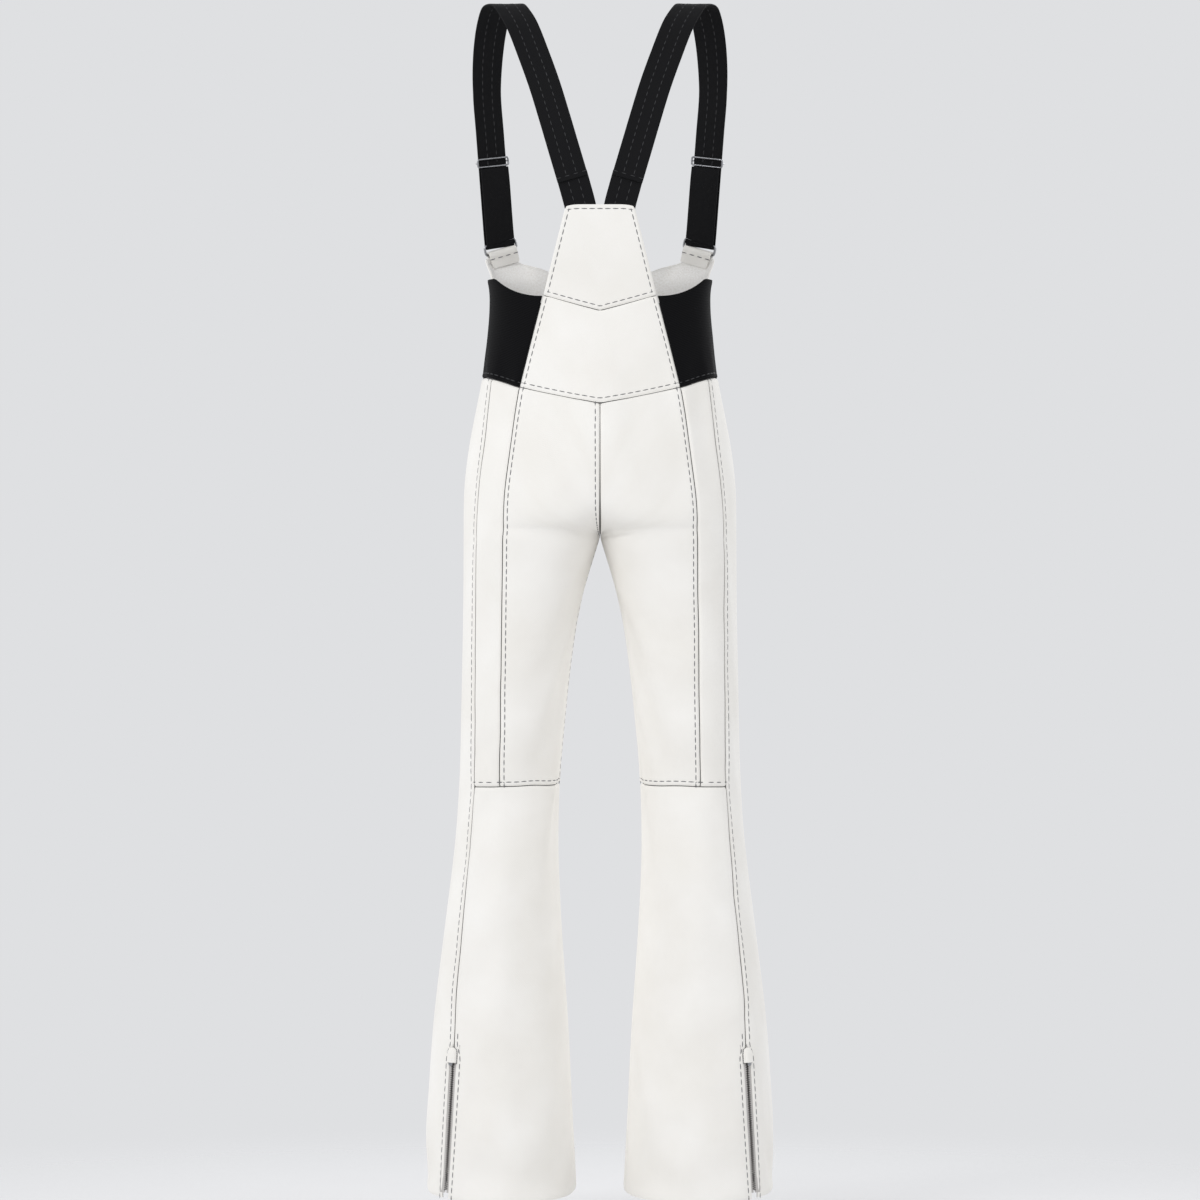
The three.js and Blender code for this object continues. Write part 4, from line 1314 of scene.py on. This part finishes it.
class Solid:
    """Closed shapes gathered into one mesh, each turned to face outwards."""

    def __init__(self):
        self.points, self.places, self.faces = [], [], []

    def add(self, points, faces, places=None):
        points = np.asarray(points, float)
        fans = [(f[0], f[i], f[i + 1]) for f in faces for i in range(1, len(f) - 1)]
        a, b, c = (points[list(corner)] for corner in zip(*fans))
        if np.einsum("ij,ij->i", a - points[0], np.cross(b - points[0], c - points[0])).sum() < 0:
            faces = [face[::-1] for face in faces]
        start = len(self.points)
        self.faces += [[start + i for i in face] for face in faces]
        self.points += points.tolist()
        self.places += (points[:, :2] * MM if places is None else places).tolist()
        return self

    def piece(self, name, material, side="right"):
        points = np.array(self.points) * FLIP[side]
        faces = self.faces if side == "right" else [face[::-1] for face in self.faces]
        mesh = bpy.data.meshes.new(name)
        mesh.from_pydata((points * MM).tolist(), [], faces)
        mesh.materials.append(material)
        mesh.polygons.foreach_set("use_smooth", np.ones(len(faces), bool))
        put_places(mesh, self.places)
        mesh.set_sharp_from_angle(angle=math.radians(42))
        mesh.update()
        return shown(name, mesh)


def mirrored(lines, side):
    """Stitch lines for a side: points and outward directions, drafted for the right."""
    return [(np.asarray(points) * FLIP[side], np.asarray(out) * FLIP[side]) for points, out in lines]


# %% [markdown]
# ## Shoulder straps
# Each strap is 38 mm webbing. An anchor length is sewn inside the yoke, and the strap laps over
# it, goes over the shoulder and down in front, passes through the adjuster, turns round the
# upper bar of the ring and comes back up to the adjuster. The returning layer stretches and
# shortens as the adjuster slides, so it is left on no body. Towards the ring the
# strap's rows lie aslant, as the ring does.

# %% Straps
WEBBING_OUTLINE = np.array([
    [-19, -0.3], [-18.6, -0.85], [-17.4, -1], [-8, -1], [0, -1], [8, -1], [17.4, -1],
    [18.6, -0.85], [19, -0.3], [19, 0.3], [18.6, 0.85], [17.4, 1], [8, 1], [0, 1], [-8, 1],
    [-17.4, 1], [-18.6, 0.85], [-19, 0.3],
])
LAYER = 3.2  # from the middle of the ring's wire to the middle of either layer
SLACK = 2.5  # the loop hangs a little below the bar
WOVEN_LINES = (-6.3, 6.3)
ADJUSTER = {"width": 44, "height": 12, "above_ring": 98, "wire": 2.3}
CROWN_TOP = 1
ANCHOR = [[21, -104.2, 1190], [24.4, -105.6, 1207], [29.3, -106.7, 1225], [34.3, -106.6, 1243]]
BACK_STRAP = [
    [32.9, -109.6, 1237], [45, -104.2, 1278], [55.5, -95, 1314], [67, -83, 1352],
    [80, -69, 1389], [95, -49, 1428], [107, -27, 1449], [113, -12, 1455.5], [122, 12, 1455.5],
    [128, 27, 1449], [134.5, 46, 1425], [138.6, 59.5, 1389],
]
SLANT_FROM = 62  # how far above the ring the strap's rows begin to slant


def hung(points):
    """Points given as heights above the hem, in the garment's own frame."""
    return np.asarray(points, float) - [0, 0, STRAP_CROWN]


def strap_axes(path):
    """Directions across a strap and out of its face along a path."""
    along = tangents(path)
    share = np.clip((CROWN_TOP - path[:, 2:]) / 100, 0, 1) * (path[:, 1:2] > 0)
    wide = np.array([1.0, 0, 0]) * (1 - share) + turned * share
    out = unit(np.cross(wide, along))
    across = unit(np.cross(along, out))
    above = (path - STRAP.origin) @ STRAP.up
    slanting = smooth((SLANT_FROM - above) / SLANT_FROM) * (path[:, 1] > 60)
    return across - STRAP.up * (slanting * slant_sin / slant_cos)[:, None], out


BAR_CENTRE = RING_PLACE.origin + RING_PLACE.up * (RING["height"] - RING["wire"] / 2)
turn = np.linspace(0, np.pi, 13)[:, None]
LOOP = BAR_CENTRE + LAYER * STRAP.out * np.cos(turn) - (LAYER + SLACK) * STRAP.up * np.sin(turn)
straight = [STRAP.points([0, y, LAYER]) for y in (180, 135, 90, 45, 12)]
STRAP_PATH = smooth_path(np.concatenate([hung(BACK_STRAP), straight, LOOP[:1]]), 5.0)
STRAP_PATH = np.concatenate([STRAP_PATH, LOOP[1:]])
ANCHOR_PATH = smooth_path(hung(ANCHOR), 5.0)
RETURN_TOP = ADJUSTER["above_ring"] - ADJUSTER["height"] / 2 - 0.7
return_points = [
    LOOP[-1] + STRAP.up * 0.3, STRAP.points([0, 12, -LAYER]), STRAP.points([0, 45, -LAYER]),
    STRAP.points([0, RETURN_TOP - 14, -LAYER]), STRAP.points([0, RETURN_TOP, -LAYER + 0.9]),
]
RETURN_PATH = smooth_path(return_points, 5.0)[::-1]


def strap_part(name, path, side):
    across, out = strap_axes(path)
    piece = Solid().add(*sweep(path, across, out, WEBBING_OUTLINE)).piece(name, WEBBING, side)
    return piece


def strap_rows(path, places_across, faces, trim=(0, 0)):
    """Stitch lines along a strap, on the faces given as 1 (outer) and -1 (inner)."""
    across, out = strap_axes(path)
    rows = slice(trim[0], len(path) - trim[1])
    return [
        ((path + across * x + out * face * 1.05)[rows], (out * face)[rows])
        for x in places_across for face in faces
    ]


def cross_row(path, index, face, half=16):
    """A stitch line across a strap."""
    across, out = strap_axes(path)
    share = np.linspace(-half, half, 8)[:, None]
    line = path[index] + across[index] * share + out[index] * face * 1.05
    return line, np.repeat((out[index] * face)[None], len(share), axis=0)


STRAP_STITCH = dict(pitch=9.0, long=6.2, wide=1.1, high=0.6)
for side in SIDES:
    strap = strap_part(f"shoulder_strap_webbing_{side}", STRAP_PATH, side)
    anchor = strap_part(f"strap_anchor_{side}", ANCHOR_PATH, side)
    returning = strap_part(f"strap_return_webbing_{side}", RETURN_PATH, side)
    for piece in (strap, anchor):
        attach(piece, "root")
    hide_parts(f"shoulder_strap_{side}")
    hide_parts(f"strap_return_{side}")
    lines = strap_rows(STRAP_PATH, WOVEN_LINES, (1, -1), (2, len(LOOP) + 1))
    lines += [cross_row(STRAP_PATH, 1, 1), cross_row(STRAP_PATH, 1, -1)]
    lines += strap_rows(ANCHOR_PATH, WOVEN_LINES, (1,), (3, 2))
    threads = bars_along(
        f"strap_stitching_{side}", mirrored(lines, side), **STRAP_STITCH, finish=DARK_THREAD,
    )
    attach(threads, "root")
    lines = strap_rows(RETURN_PATH, WOVEN_LINES, (1,), (1, 1)) + [cross_row(RETURN_PATH, 1, 1)]
    back_threads = bars_along(
        f"strap_return_stitching_{side}", mirrored(lines, side), **STRAP_STITCH,
        finish=DARK_THREAD,
    )
    for piece in (returning, back_threads):
        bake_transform(piece)
print("strap length", round(float(run(STRAP_PATH)[-1])), "mm")

# %% [markdown]
# ## Rings and adjusters
# The ring is a round-cornered loop of 3 mm rod. The adjuster is a wire slide: a flat loop behind
# the strap with a bar that passes in front of it.

# %% Rings and adjusters
def in_plane(place, outline, z=0.0):
    return place.points(np.column_stack([outline, np.full(len(outline), z)]))


wire = RING["wire"]
ring_outline = rounded_rectangle(
    RING["width"] - wire, RING["height"] - wire, RING["corner"] - wire / 2,
)
ring_path = in_plane(RING_PLACE, ring_outline + [0, RING["height"] / 2])

ADJUSTER_PLACE = STRAP.raised(ADJUSTER["above_ring"])
wire = ADJUSTER["wire"]
off_strap = 1 + 0.5 + wire / 2  # half the strap, a little air and half the wire
BEHIND, BEFORE = LAYER - off_strap, LAYER + off_strap
loop_outline = rounded_rectangle(ADJUSTER["width"] - wire, ADJUSTER["height"] - wire, 2.2)
adjuster_loop = in_plane(ADJUSTER_PLACE, loop_outline, BEHIND)
end, bend = (ADJUSTER["width"] - wire) / 2, 1.6
bar_corner = [
    (end, BEHIND), (end, BEFORE - bend), (end - bend * 0.3, BEFORE - bend * 0.3),
    (end - bend, BEFORE),
]
bar_local = [(x, 0, z) for x, z in bar_corner] + [(-x, 0, z) for x, z in reversed(bar_corner)]
adjuster_bar = ADJUSTER_PLACE.points(bar_local)
for side in SIDES:
    ring = Solid().add(*rod(ring_path, RING_PLACE.out, RING["wire"], closed=True))
    ring = ring.piece(f"ring_rod_{side}", CAST, side)
    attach(ring, f"ring_{side}")
    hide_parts(f"strap_ring_{side}")
    slide = Solid().add(*rod(adjuster_loop, ADJUSTER_PLACE.out, wire, closed=True))
    slide.add(*rod(adjuster_bar, ADJUSTER_PLACE.up, wire))
    slide = slide.piece(f"adjuster_slide_{side}", CAST, side)
    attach(slide, f"adjuster_{side}")
    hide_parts(f"strap_adjuster_{side}")

# %% [markdown]
# ## Tabs at the corners of the bib
# The bib's corner ends in a folded tab that goes round the lower bar of the ring. The ring tilts
# about its upper bar, so the tab leaves its lower bar room to move.

# %% Ring tabs
TAB_HALF = 19.0
TAB_THICK = 1.4
TAB_LEGS = (17.0, 8.0)  # how far below the bar the ends and the middles of its two legs are
TAB_ROWS = 33
TAB_STITCH_ROWS = (8, 24)


def bib_under(beside, height):
    """The bib's outer surface at a height, at a distance across from the ring's middle."""
    t = np.linspace(float(SEAMS["front"](height)), 0.93, 90)
    line = cloth(t, np.full_like(t, height), "right")
    across = (line - RING_PLACE.origin) @ RING_PLACE.across
    order = np.argsort(across)
    wanted = np.clip(beside, across.min(), across.max())
    return [np.interp(wanted, across[order], line[order, k]) for k in range(3)]


def tab_grid():
    columns = np.linspace(-TAB_HALF, TAB_HALF, 15)
    bar = RING_PLACE.points([(x, RING["wire"] / 2, 0) for x in columns])
    low_points, high_points = (
        np.array([bib_under(x, p[2] + STRAP_CROWN - below) for x, p in zip(columns, bar)])
        for below in TAB_LEGS
    )
    out, up = RING_PLACE.out, RING_PLACE.up
    stations = np.stack([
        low_points - 3.3 * out, high_points - 3.4 * out, bar - 4.6 * out - 1.0 * up,
        bar - 3.4 * out + 2.6 * up, bar + 3.7 * up, bar + 3.4 * out + 2.6 * up,
        bar + 4.6 * out - 1.0 * up, high_points + 1.8 * out, low_points + 1.3 * out,
    ])
    paths = stations.transpose(1, 0, 2)
    return np.stack([smooth_path(path, count=TAB_ROWS) for path in paths], axis=1)


TAB = tab_grid()
tab_square = grid_normals(TAB)
if tab_square[0, 6] @ RING_PLACE.out > 0:
    tab_square = -tab_square
for side in SIDES:
    tab = cloth_piece(
        f"ring_tab_{side}", (TAB + tab_square * TAB_THICK / 2) * FLIP[side],
        tab_square * FLIP[side], TAB_THICK, SOFTSHELL, FLEECE,
    )
    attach(tab, "root")
    face = TAB + tab_square * (TAB_THICK / 2 + 0.1)
    lines = [(face[row, 1:-1], tab_square[row, 1:-1]) for row in TAB_STITCH_ROWS]
    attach(stitched(f"ring_tab_stitching_{side}", mirrored(lines, side)), "root")
print("ring tabs:", TAB.shape[:2], "points each")

# %% [markdown]
# ## Zips
# Each zip has two woven tapes under the edges of the cloth, a row of moulded teeth on either
# side, and a cast slider with a forked pull. The hem zips park their sliders under a small cloth
# garage. The teeth come from the same Geometry Nodes tree as the stitches.

# %% Zips
TAPE_OUTLINE = np.array([
    [1.2, -1.45], [9.3, -1.45], [9.6, -1.15], [9.3, -0.85], [1.2, -0.85], [0.9, -1.15],
])
TEETH_DEPTH, TEETH_BESIDE = -1.0, 1.62
TEETH_ROW = dict(pitch=2.6, long=1.75, wide=2.3, high=2.9, finish=TEETH)
PULL_AXIS = 3.7  # above the cloth
PULLS = {"hem": 13, "pocket": 26, "front": 28}
SLIDER_FROM_HEAD = {"hem": 13, "pocket": 11, "front": 8}
SLIDER_SHAPE = [
    [-4.2, 4.2], [-4.2, 1.2], [-3.5, -3.6], [-2.6, -5], [2.6, -5], [3.5, -3.6], [4.2, 1.2],
    [4.2, 4.2], [3.4, 5], [-3.4, 5],
]


def zip_tapes(place, length):
    """place is at the foot of the zip."""
    tapes = Solid()
    path = np.linspace([0, 0.5, 0], [0, length, 0], int(length / 8))
    for hand in (1, -1):
        outline = TAPE_OUTLINE * [hand, 1]
        points, faces, places = sweep(path, (1, 0, 0), (0, 0, 1), outline)
        tapes.add(place.points(points), faces, places)
    return tapes


def teeth_lines(place, length, head_stop):
    lines = []
    for hand, offset in ((1, 0), (-1, TEETH_ROW["pitch"] / 2)):
        beside = hand * TEETH_BESIDE
        local = np.linspace(
            [beside, 4 + offset, TEETH_DEPTH], [beside, length - head_stop, TEETH_DEPTH], 12,
        )
        lines.append((place.points(local), np.repeat(place.out[None], len(local), axis=0)))
    return lines


def slider_solid(place):
    """place is at the middle of the slider, level with the cloth."""
    solid = Solid()
    for low_z, high_z in ((0.6, 1.75), (-4.55, -3.4)):
        points, faces = plate(SLIDER_SHAPE, low_z, high_z)
        solid.add(place.points(points), faces)
    points, faces = plate(rounded_rectangle(0.8, 8, 0.3, 2), -3.6, 0.8, 0.1)
    solid.add(place.points(points), faces)
    arch = [(0, -3.2, 1.5), (0, -2.4, 3.6), (0, -1, 4.7), (0, 1, 4.7), (0, 2.4, 3.6), (0, 3.2, 1.5)]
    bail = smooth_path(place.points(arch), 0.8)
    solid.add(*rod(bail, place.across, 1.1, 1.8))
    return solid


def pull_solid(place, length):
    """place is on the pull's axis."""
    solid = Solid()
    for hand in (1, -1):
        leg = rounded_rectangle(1.4, 8.2, 0.65, 3) + [hand * 2, -2.9]
        points, faces = plate(leg, -0.7, 0.7, 0.25)
        solid.add(place.points(points), faces)
    long = length - 5
    tab = rounded_rectangle(5.6, long, 2.2, 4) + [0, -5 - long / 2]
    points, faces = plate(tab, -0.7, 0.7, 0.3)
    solid.add(place.points(points), faces)
    return solid


def make_zip(label, sides, chain_body, names):
    """Tapes, teeth, slider and pull of a zip. names are the slider's and the pull's bodies."""
    place, length = ZIP_PLACES[label]
    at = place.raised(length - SLIDER_FROM_HEAD[label])
    for side in sides:
        ending = f"_{side}" if len(sides) > 1 else ""
        tapes = zip_tapes(place, length).piece(f"{label}_zip_tape{ending}", TAPE, side)
        teeth = bars_along(
            f"{label}_zip_teeth{ending}", mirrored(teeth_lines(place, length, 4), side), **TEETH_ROW,
        )
        slider = slider_solid(at).piece(f"{label}_slider_cast{ending}", CAST, side)
        pull = pull_solid(at.raised(0, PULL_AXIS), PULLS[label])
        pull = pull.piece(f"{label}_pull_cast{ending}", CAST, side)
        body = "root" if chain_body == "root" else chain_body + ending
        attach(tapes, body)
        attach(teeth, body)
        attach(slider, names[0] + ending)
        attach(pull, names[1] + ending)
        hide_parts(f"{label}_zip_chain{ending}")
        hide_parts(f"{label}_zip_slider{ending}")
        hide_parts(f"{label}_zip_pull{ending}")


make_zip("hem", SIDES, "shin", ("hem_slider", "hem_slider"))
make_zip("pocket", SIDES, "root", ("pocket_slider", "pocket_pull"))
make_zip("front", ("right",), "root", ("front_slider", "front_pull"))
print("zips:", {label: f"{length:.0f} mm" for label, (_, length) in ZIP_PLACES.items()})

# %% [markdown]
# ## Zip guard and crotch gusset
# Behind the front zip lies a guard, a strip of cloth sewn down along one edge, which keeps wind
# out. Where the four leg seams meet, a small gusset covers them inside.

# %% Guard and gusset
GUARD = {"half": 16.0, "deep": 7.5, "sewn": 2.4, "thick": 1.2}
GUSSET = {"half": 11.0, "deep": 6.5, "thick": 0.8, "reach": 828}

front_place, front_length = ZIP_PLACES["front"]
across, up = np.meshgrid(
    np.linspace(-GUARD["half"], GUARD["half"], 9), np.linspace(1, front_length - 3, 40),
)
deep = GUARD["sewn"] + (GUARD["deep"] - GUARD["sewn"]) * smooth((across + GUARD["half"]) / 8)
guard_grid = front_place.points(np.stack([across, up, -deep], axis=-1))
guard_square = np.broadcast_to(front_place.out, guard_grid.shape)
guard = cloth_piece(
    "front_zip_guard", guard_grid, guard_square, GUARD["thick"], SOFTSHELL, FLEECE,
)

down = np.linspace(GUSSET["reach"], CROTCH + 0.5, 12)  # down the back, then up the front
seam_line = skin(np.repeat([-1.0, 1.0], len(down)), np.concatenate([down, down[::-1]])) * [0, 1, 1]
inward = unit(np.cross([1.0, 0, 0], tangents(seam_line)))
inward = inward * np.sign(inward[len(down), 2])
wide = np.linspace(-GUSSET["half"], GUSSET["half"], 7)
gusset_grid = (seam_line + inward * GUSSET["deep"])[:, None] + wide[None, :, None] * [1, 0, 0]
gusset = cloth_piece(
    "crotch_gusset", gusset_grid, np.repeat(-inward[:, None], len(wide), axis=1),
    GUSSET["thick"], SOFTSHELL, FLEECE,
)
for piece in (guard, gusset):
    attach(piece, "root")
    print(piece.name, [round(size / MM) for size in piece.dimensions], "mm")

# %% [markdown]
# ## Zip garages
# A garage is a hood of cloth: domed over the slider, rounded at its head and open at its mouth.

# %% Garages
GARAGE = {"half": 6.6, "mouth": -9, "head": 9.5, "rise": 6.4, "thick": 0.9}


def garage_grid(place):
    """A hood from its mouth (v = 0) to its head, and from one side (u = -1) to the other."""
    u = np.sin(np.linspace(-1, 1, 17)[None, :] * np.pi / 2)
    v = np.linspace(0, 1, 13)[:, None]
    upward = np.sin(v * np.pi / 2)
    dome = (1 - np.abs(u) ** 3) ** (1 / 2.4)
    close = np.clip(1 - upward**5, 0, 1) ** 0.5
    reach = GARAGE["mouth"] + (GARAGE["head"] - GARAGE["mouth"]) * upward
    local = np.stack([
        GARAGE["half"] * u * (1 - v**3 * 0.55), reach * (1 - 0.16 * np.abs(u) ** 2 * v),
        0.2 + GARAGE["rise"] * dome * close,
    ], axis=-1)
    return place.points(local)


hem_place, hem_length = ZIP_PLACES["hem"]
garage_points = garage_grid(hem_place.raised(hem_length - SLIDER_FROM_HEAD["hem"]))
garage_square = grid_normals(garage_points)
if garage_square[4, 8] @ hem_place.out < 0:
    garage_square = -garage_square
garage_edge = np.concatenate([
    garage_points[:, 0], garage_points[-1, 1:-1], garage_points[::-1, -1],
])
garage_rim = (
    garage_edge + hem_place.out * 0.5, np.repeat(hem_place.out[None], len(garage_edge), axis=0),
)
GARAGE_STITCH = dict(pitch=2.7, long=2.9, wide=1.1, high=1.0)
for side in SIDES:
    garage = cloth_piece(
        f"garage_hood_{side}", garage_points * FLIP[side], garage_square * FLIP[side],
        GARAGE["thick"], SOFTSHELL, FLEECE,
    )
    rim_thread = bars_along(
        f"garage_topstitch_{side}", mirrored([garage_rim], side), **GARAGE_STITCH, finish=THREAD,
    )
    for piece in (garage, rim_thread):
        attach(piece, f"shin_{side}")
    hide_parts(f"zip_garage_{side}")
    print(garage.name, len(garage.data.polygons), "faces")

# %% [markdown]
# ## Boot gaiters
# Inside each hem hangs a thin cuff that keeps snow out of the boot. Its lower edge is gathered
# onto a ribbed elastic band, so its folds deepen downwards.

# %% Gaiters
GAITER = {"foot": 30, "band_top": 56, "head": 172, "gathers": 46, "depth": 1.5}


def gaiter_grid(low_h, high_h, rows, columns=368):
    """Right-hand points and outward directions of the cuff between two heights."""
    t = np.linspace(-1, 1, columns, endpoint=False)[None, :]
    h = np.linspace(low_h, high_h, rows)[:, None]
    inset = 7 + 17 * np.clip((GAITER["head"] - h) / (GAITER["head"] - GAITER["foot"]), 0, 1)
    drawn = np.clip((GAITER["head"] - h) / 110, 0, 1) ** 1.6
    turns = GAITER["gathers"] * (t + 1) * np.pi + 0.9 * np.sin(7 * np.pi * t)
    uneven = 0.75 + 0.25 * np.sin(5 * np.pi * t + 1.3)
    wave = GAITER["depth"] * drawn * uneven * np.sin(turns)
    out = outward(t, h)
    return skin(t, h) - out * (inset - wave)[..., None], out


def tube_normals(points):
    around = np.roll(points, -1, axis=1) - np.roll(points, 1, axis=1)
    return unit(np.cross(around, np.gradient(points, axis=0)))


for side in SIDES:
    for name, span, rows, thick, stuff in (
        ("gaiter_cuff", (GAITER["band_top"] + 0.6, GAITER["head"]), 18, 0.7, LINING),
        ("gaiter_elastic", (GAITER["foot"], GAITER["band_top"]), 8, 2.4, ELASTIC),
    ):
        points, out = gaiter_grid(*span, rows)
        square = tube_normals(points)
        square = square * np.sign((square * out).sum(-1, keepdims=True))
        piece = cloth_piece(
            f"{name}_{side}", points * FLIP[side], square * FLIP[side], thick, stuff, stuff,
            wrap=True,
        )
        print(piece.name, len(piece.data.polygons), "faces")
        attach(piece, f"shin_{side}")
        if name == "gaiter_cuff":
            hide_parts(f"boot_gaiter_{side}")

# %% [markdown]
# ## Seam tape
# The seams of a softshell are taped inside. The tape lies under every seam and closes it. Its grey,
# seen through the seam's gap, is painted shade: it stands in for the seam's shadow line.

# %% Seam tape
SEAM_TAPE = {"half": 6.5, "deep": 3.5, "thick": 0.35}
SHORT_OF_ZIP = 0.07  # the waist tape ends beside the front zip, clear of its slider


def tape_strip(t, h):
    """Grid of a strip under a line of points on the skin of the right half."""
    path = cloth(t, h, "right")
    out = outward(t, h)
    across = unit(np.cross(tangents(path), out))
    share = np.linspace(-1, 1, 5)[None, :, None] * SEAM_TAPE["half"]
    return path[:, None] + across[:, None] * share - out[:, None] * SEAM_TAPE["deep"], out


def strip_solid(solid, grid, out):
    """Adds a strip of tape to a solid and gives its area in square metres."""
    inner = grid - out[:, None] * SEAM_TAPE["thick"]
    rows, columns = grid.shape[:2]
    count = rows * columns
    faces = grid_faces(rows, columns)
    rim = rim_faces(grid_rim(rows, columns), count)
    every = np.concatenate([faces, faces[:, ::-1] + count, rim]).tolist()
    places = np.stack([arc(grid, 1), arc(grid, 0)], axis=-1).reshape(-1, 2) * MM
    solid.add(
        np.concatenate([grid.reshape(-1, 3), inner.reshape(-1, 3)]), every,
        np.concatenate([places, places]),
    )
    return float(arc(grid, 0)[-1].mean()) * 2 * SEAM_TAPE["half"] * MM * MM


def upright(seam, low_h, high_h, nudge=0.0):
    h = np.arange(low_h, high_h + 5, 9.0)
    return np.clip(SEAMS[seam](h) + nudge, -1, 1), h


def level_line(height, left, right, near, short=0.0):
    low, high = float(SEAMS[left](near)), float(SEAMS[right](near)) - short
    t = np.linspace(low, high, 26)
    return t, height(t)


def yoke_seam_line():
    x = np.linspace(0, 68, 12)
    return t_at(yoke_foot(x), x, -1), yoke_foot(x)


UPPER_SEAMS = [
    upright("princess", 512, 1086), upright("back", 512, 985), upright("front", 512, 818),
    upright("front", 957, 1112), upright("centre_back", 512, 960), upright("centre_front", 512, 884),
    level_line(waist_level, "centre_back", "centre_front", WAIST_SIDE, SHORT_OF_ZIP), yoke_seam_line(),
]
LOWER_SEAMS = [
    upright("back", 198, 496), upright("front", 14, 496), upright("centre_back", 14, 496),
    level_line(level(KNEE_SEAM), "centre_back", "back", KNEE_SEAM),
    level_line(level(KNEE_SEAM), "front", "centre_front", KNEE_SEAM),
]
for side in SIDES:
    for name, seams, fold in (("upper", UPPER_SEAMS, "hip"), ("lower", LOWER_SEAMS, "knee")):
        solid, area = Solid(), 0.0
        for t, h in seams:
            area += strip_solid(solid, *tape_strip(t, h))
        # each strip's grey shows through its seam's gap as painted shade, the seam's shadow line
        tape = solid.piece(f"seam_tape_{name}_{side}", SEAM_SHADE_GREY, side)
        follow(tape, fold)

# %% Camera, floor and light
def aim(thing, target):
    thing.rotation_euler = (Vector(target) - thing.location).to_track_quat("-Z", "Y").to_euler()


LENS, SENSOR = 200.0, 36.0
low, high = (Vector(corner) for corner in cad_box)
MARGIN = 0.992  # the garment nearly fills the height of the frame
eye_distance = (high.z - low.z) * MARGIN * LENS / SENSOR
camera = bpy.data.objects.new("camera", bpy.data.cameras.new("camera"))
camera.data.lens, camera.data.sensor_width = LENS, SENSOR
camera.location = (0, low.y - eye_distance, (low.z + high.z) / 2)
aim(camera, (0, 0, (low.z + high.z) / 2))
bpy.context.scene.collection.objects.link(camera)
bpy.context.scene.camera = camera
# white goods need the plain transform, which leaves whites white
bpy.context.scene.view_settings.view_transform = "Standard"


def floor_material():
    """A pale floor that fades out with distance, so that it has no edge."""
    material, tree, shader = new_material("studio_floor", 0.9, colour="#e4e4e5")
    place = node(tree, "ShaderNodeTexCoord").outputs["Object"]
    away = node(tree, "ShaderNodeVectorMath", {"operation": "LENGTH"}, _0=place).outputs["Value"]
    fade = node(
        tree, "ShaderNodeMapRange", {"interpolation_type": "SMOOTHSTEP"}, Value=away,
        From_Min=0.35, From_Max=1.5,
    ).outputs[0]
    clear = node(tree, "ShaderNodeBsdfTransparent").outputs[0]
    mixed = node(tree, "ShaderNodeMixShader", _0=fade, _1=shader.outputs[0], _2=clear)
    tree.links.new(mixed.outputs[0], tree.nodes["Material Output"].inputs["Surface"])
    return material


FLOOR_Z = low.z - 0.03
corners = [
    (1.6 * math.cos(turn), 1.6 * math.sin(turn), 0) for turn in np.linspace(0, 2 * np.pi, 49)[:-1]
]
floor_mesh = mesh_of("studio_floor", corners, [list(range(48))])
floor_mesh.materials.append(floor_material())
floor = shown("studio_floor", floor_mesh)
floor.location.z = FLOOR_Z


def softbox(name, place, target, size, power):
    light = bpy.data.objects.new(name, bpy.data.lights.new(name, "AREA"))
    light.data.shape, light.data.size, light.data.energy = "SQUARE", size, power
    light.location = place
    aim(light, target)
    bpy.context.scene.collection.objects.link(light)


CHEST = (0, 0, low.z * 0.5)
softbox("key", (-2.6, -3.2, 1.0), CHEST, 2.0, 55)
softbox("fill", (3.2, -2.6, 0.0), CHEST, 2.6, 16)
softbox("rim", (1.8, 3.2, 1.2), CHEST, 2.2, 45)
softbox("far_fill", (-3.0, 2.4, 0.2), CHEST, 2.6, 20)
world = bpy.data.worlds.new("studio")
world.use_nodes = True
world.node_tree.nodes["Background"].inputs["Color"].default_value = linear("#dfe0e2")
world.node_tree.nodes["Background"].inputs["Strength"].default_value = 1.0
bpy.context.scene.world = world
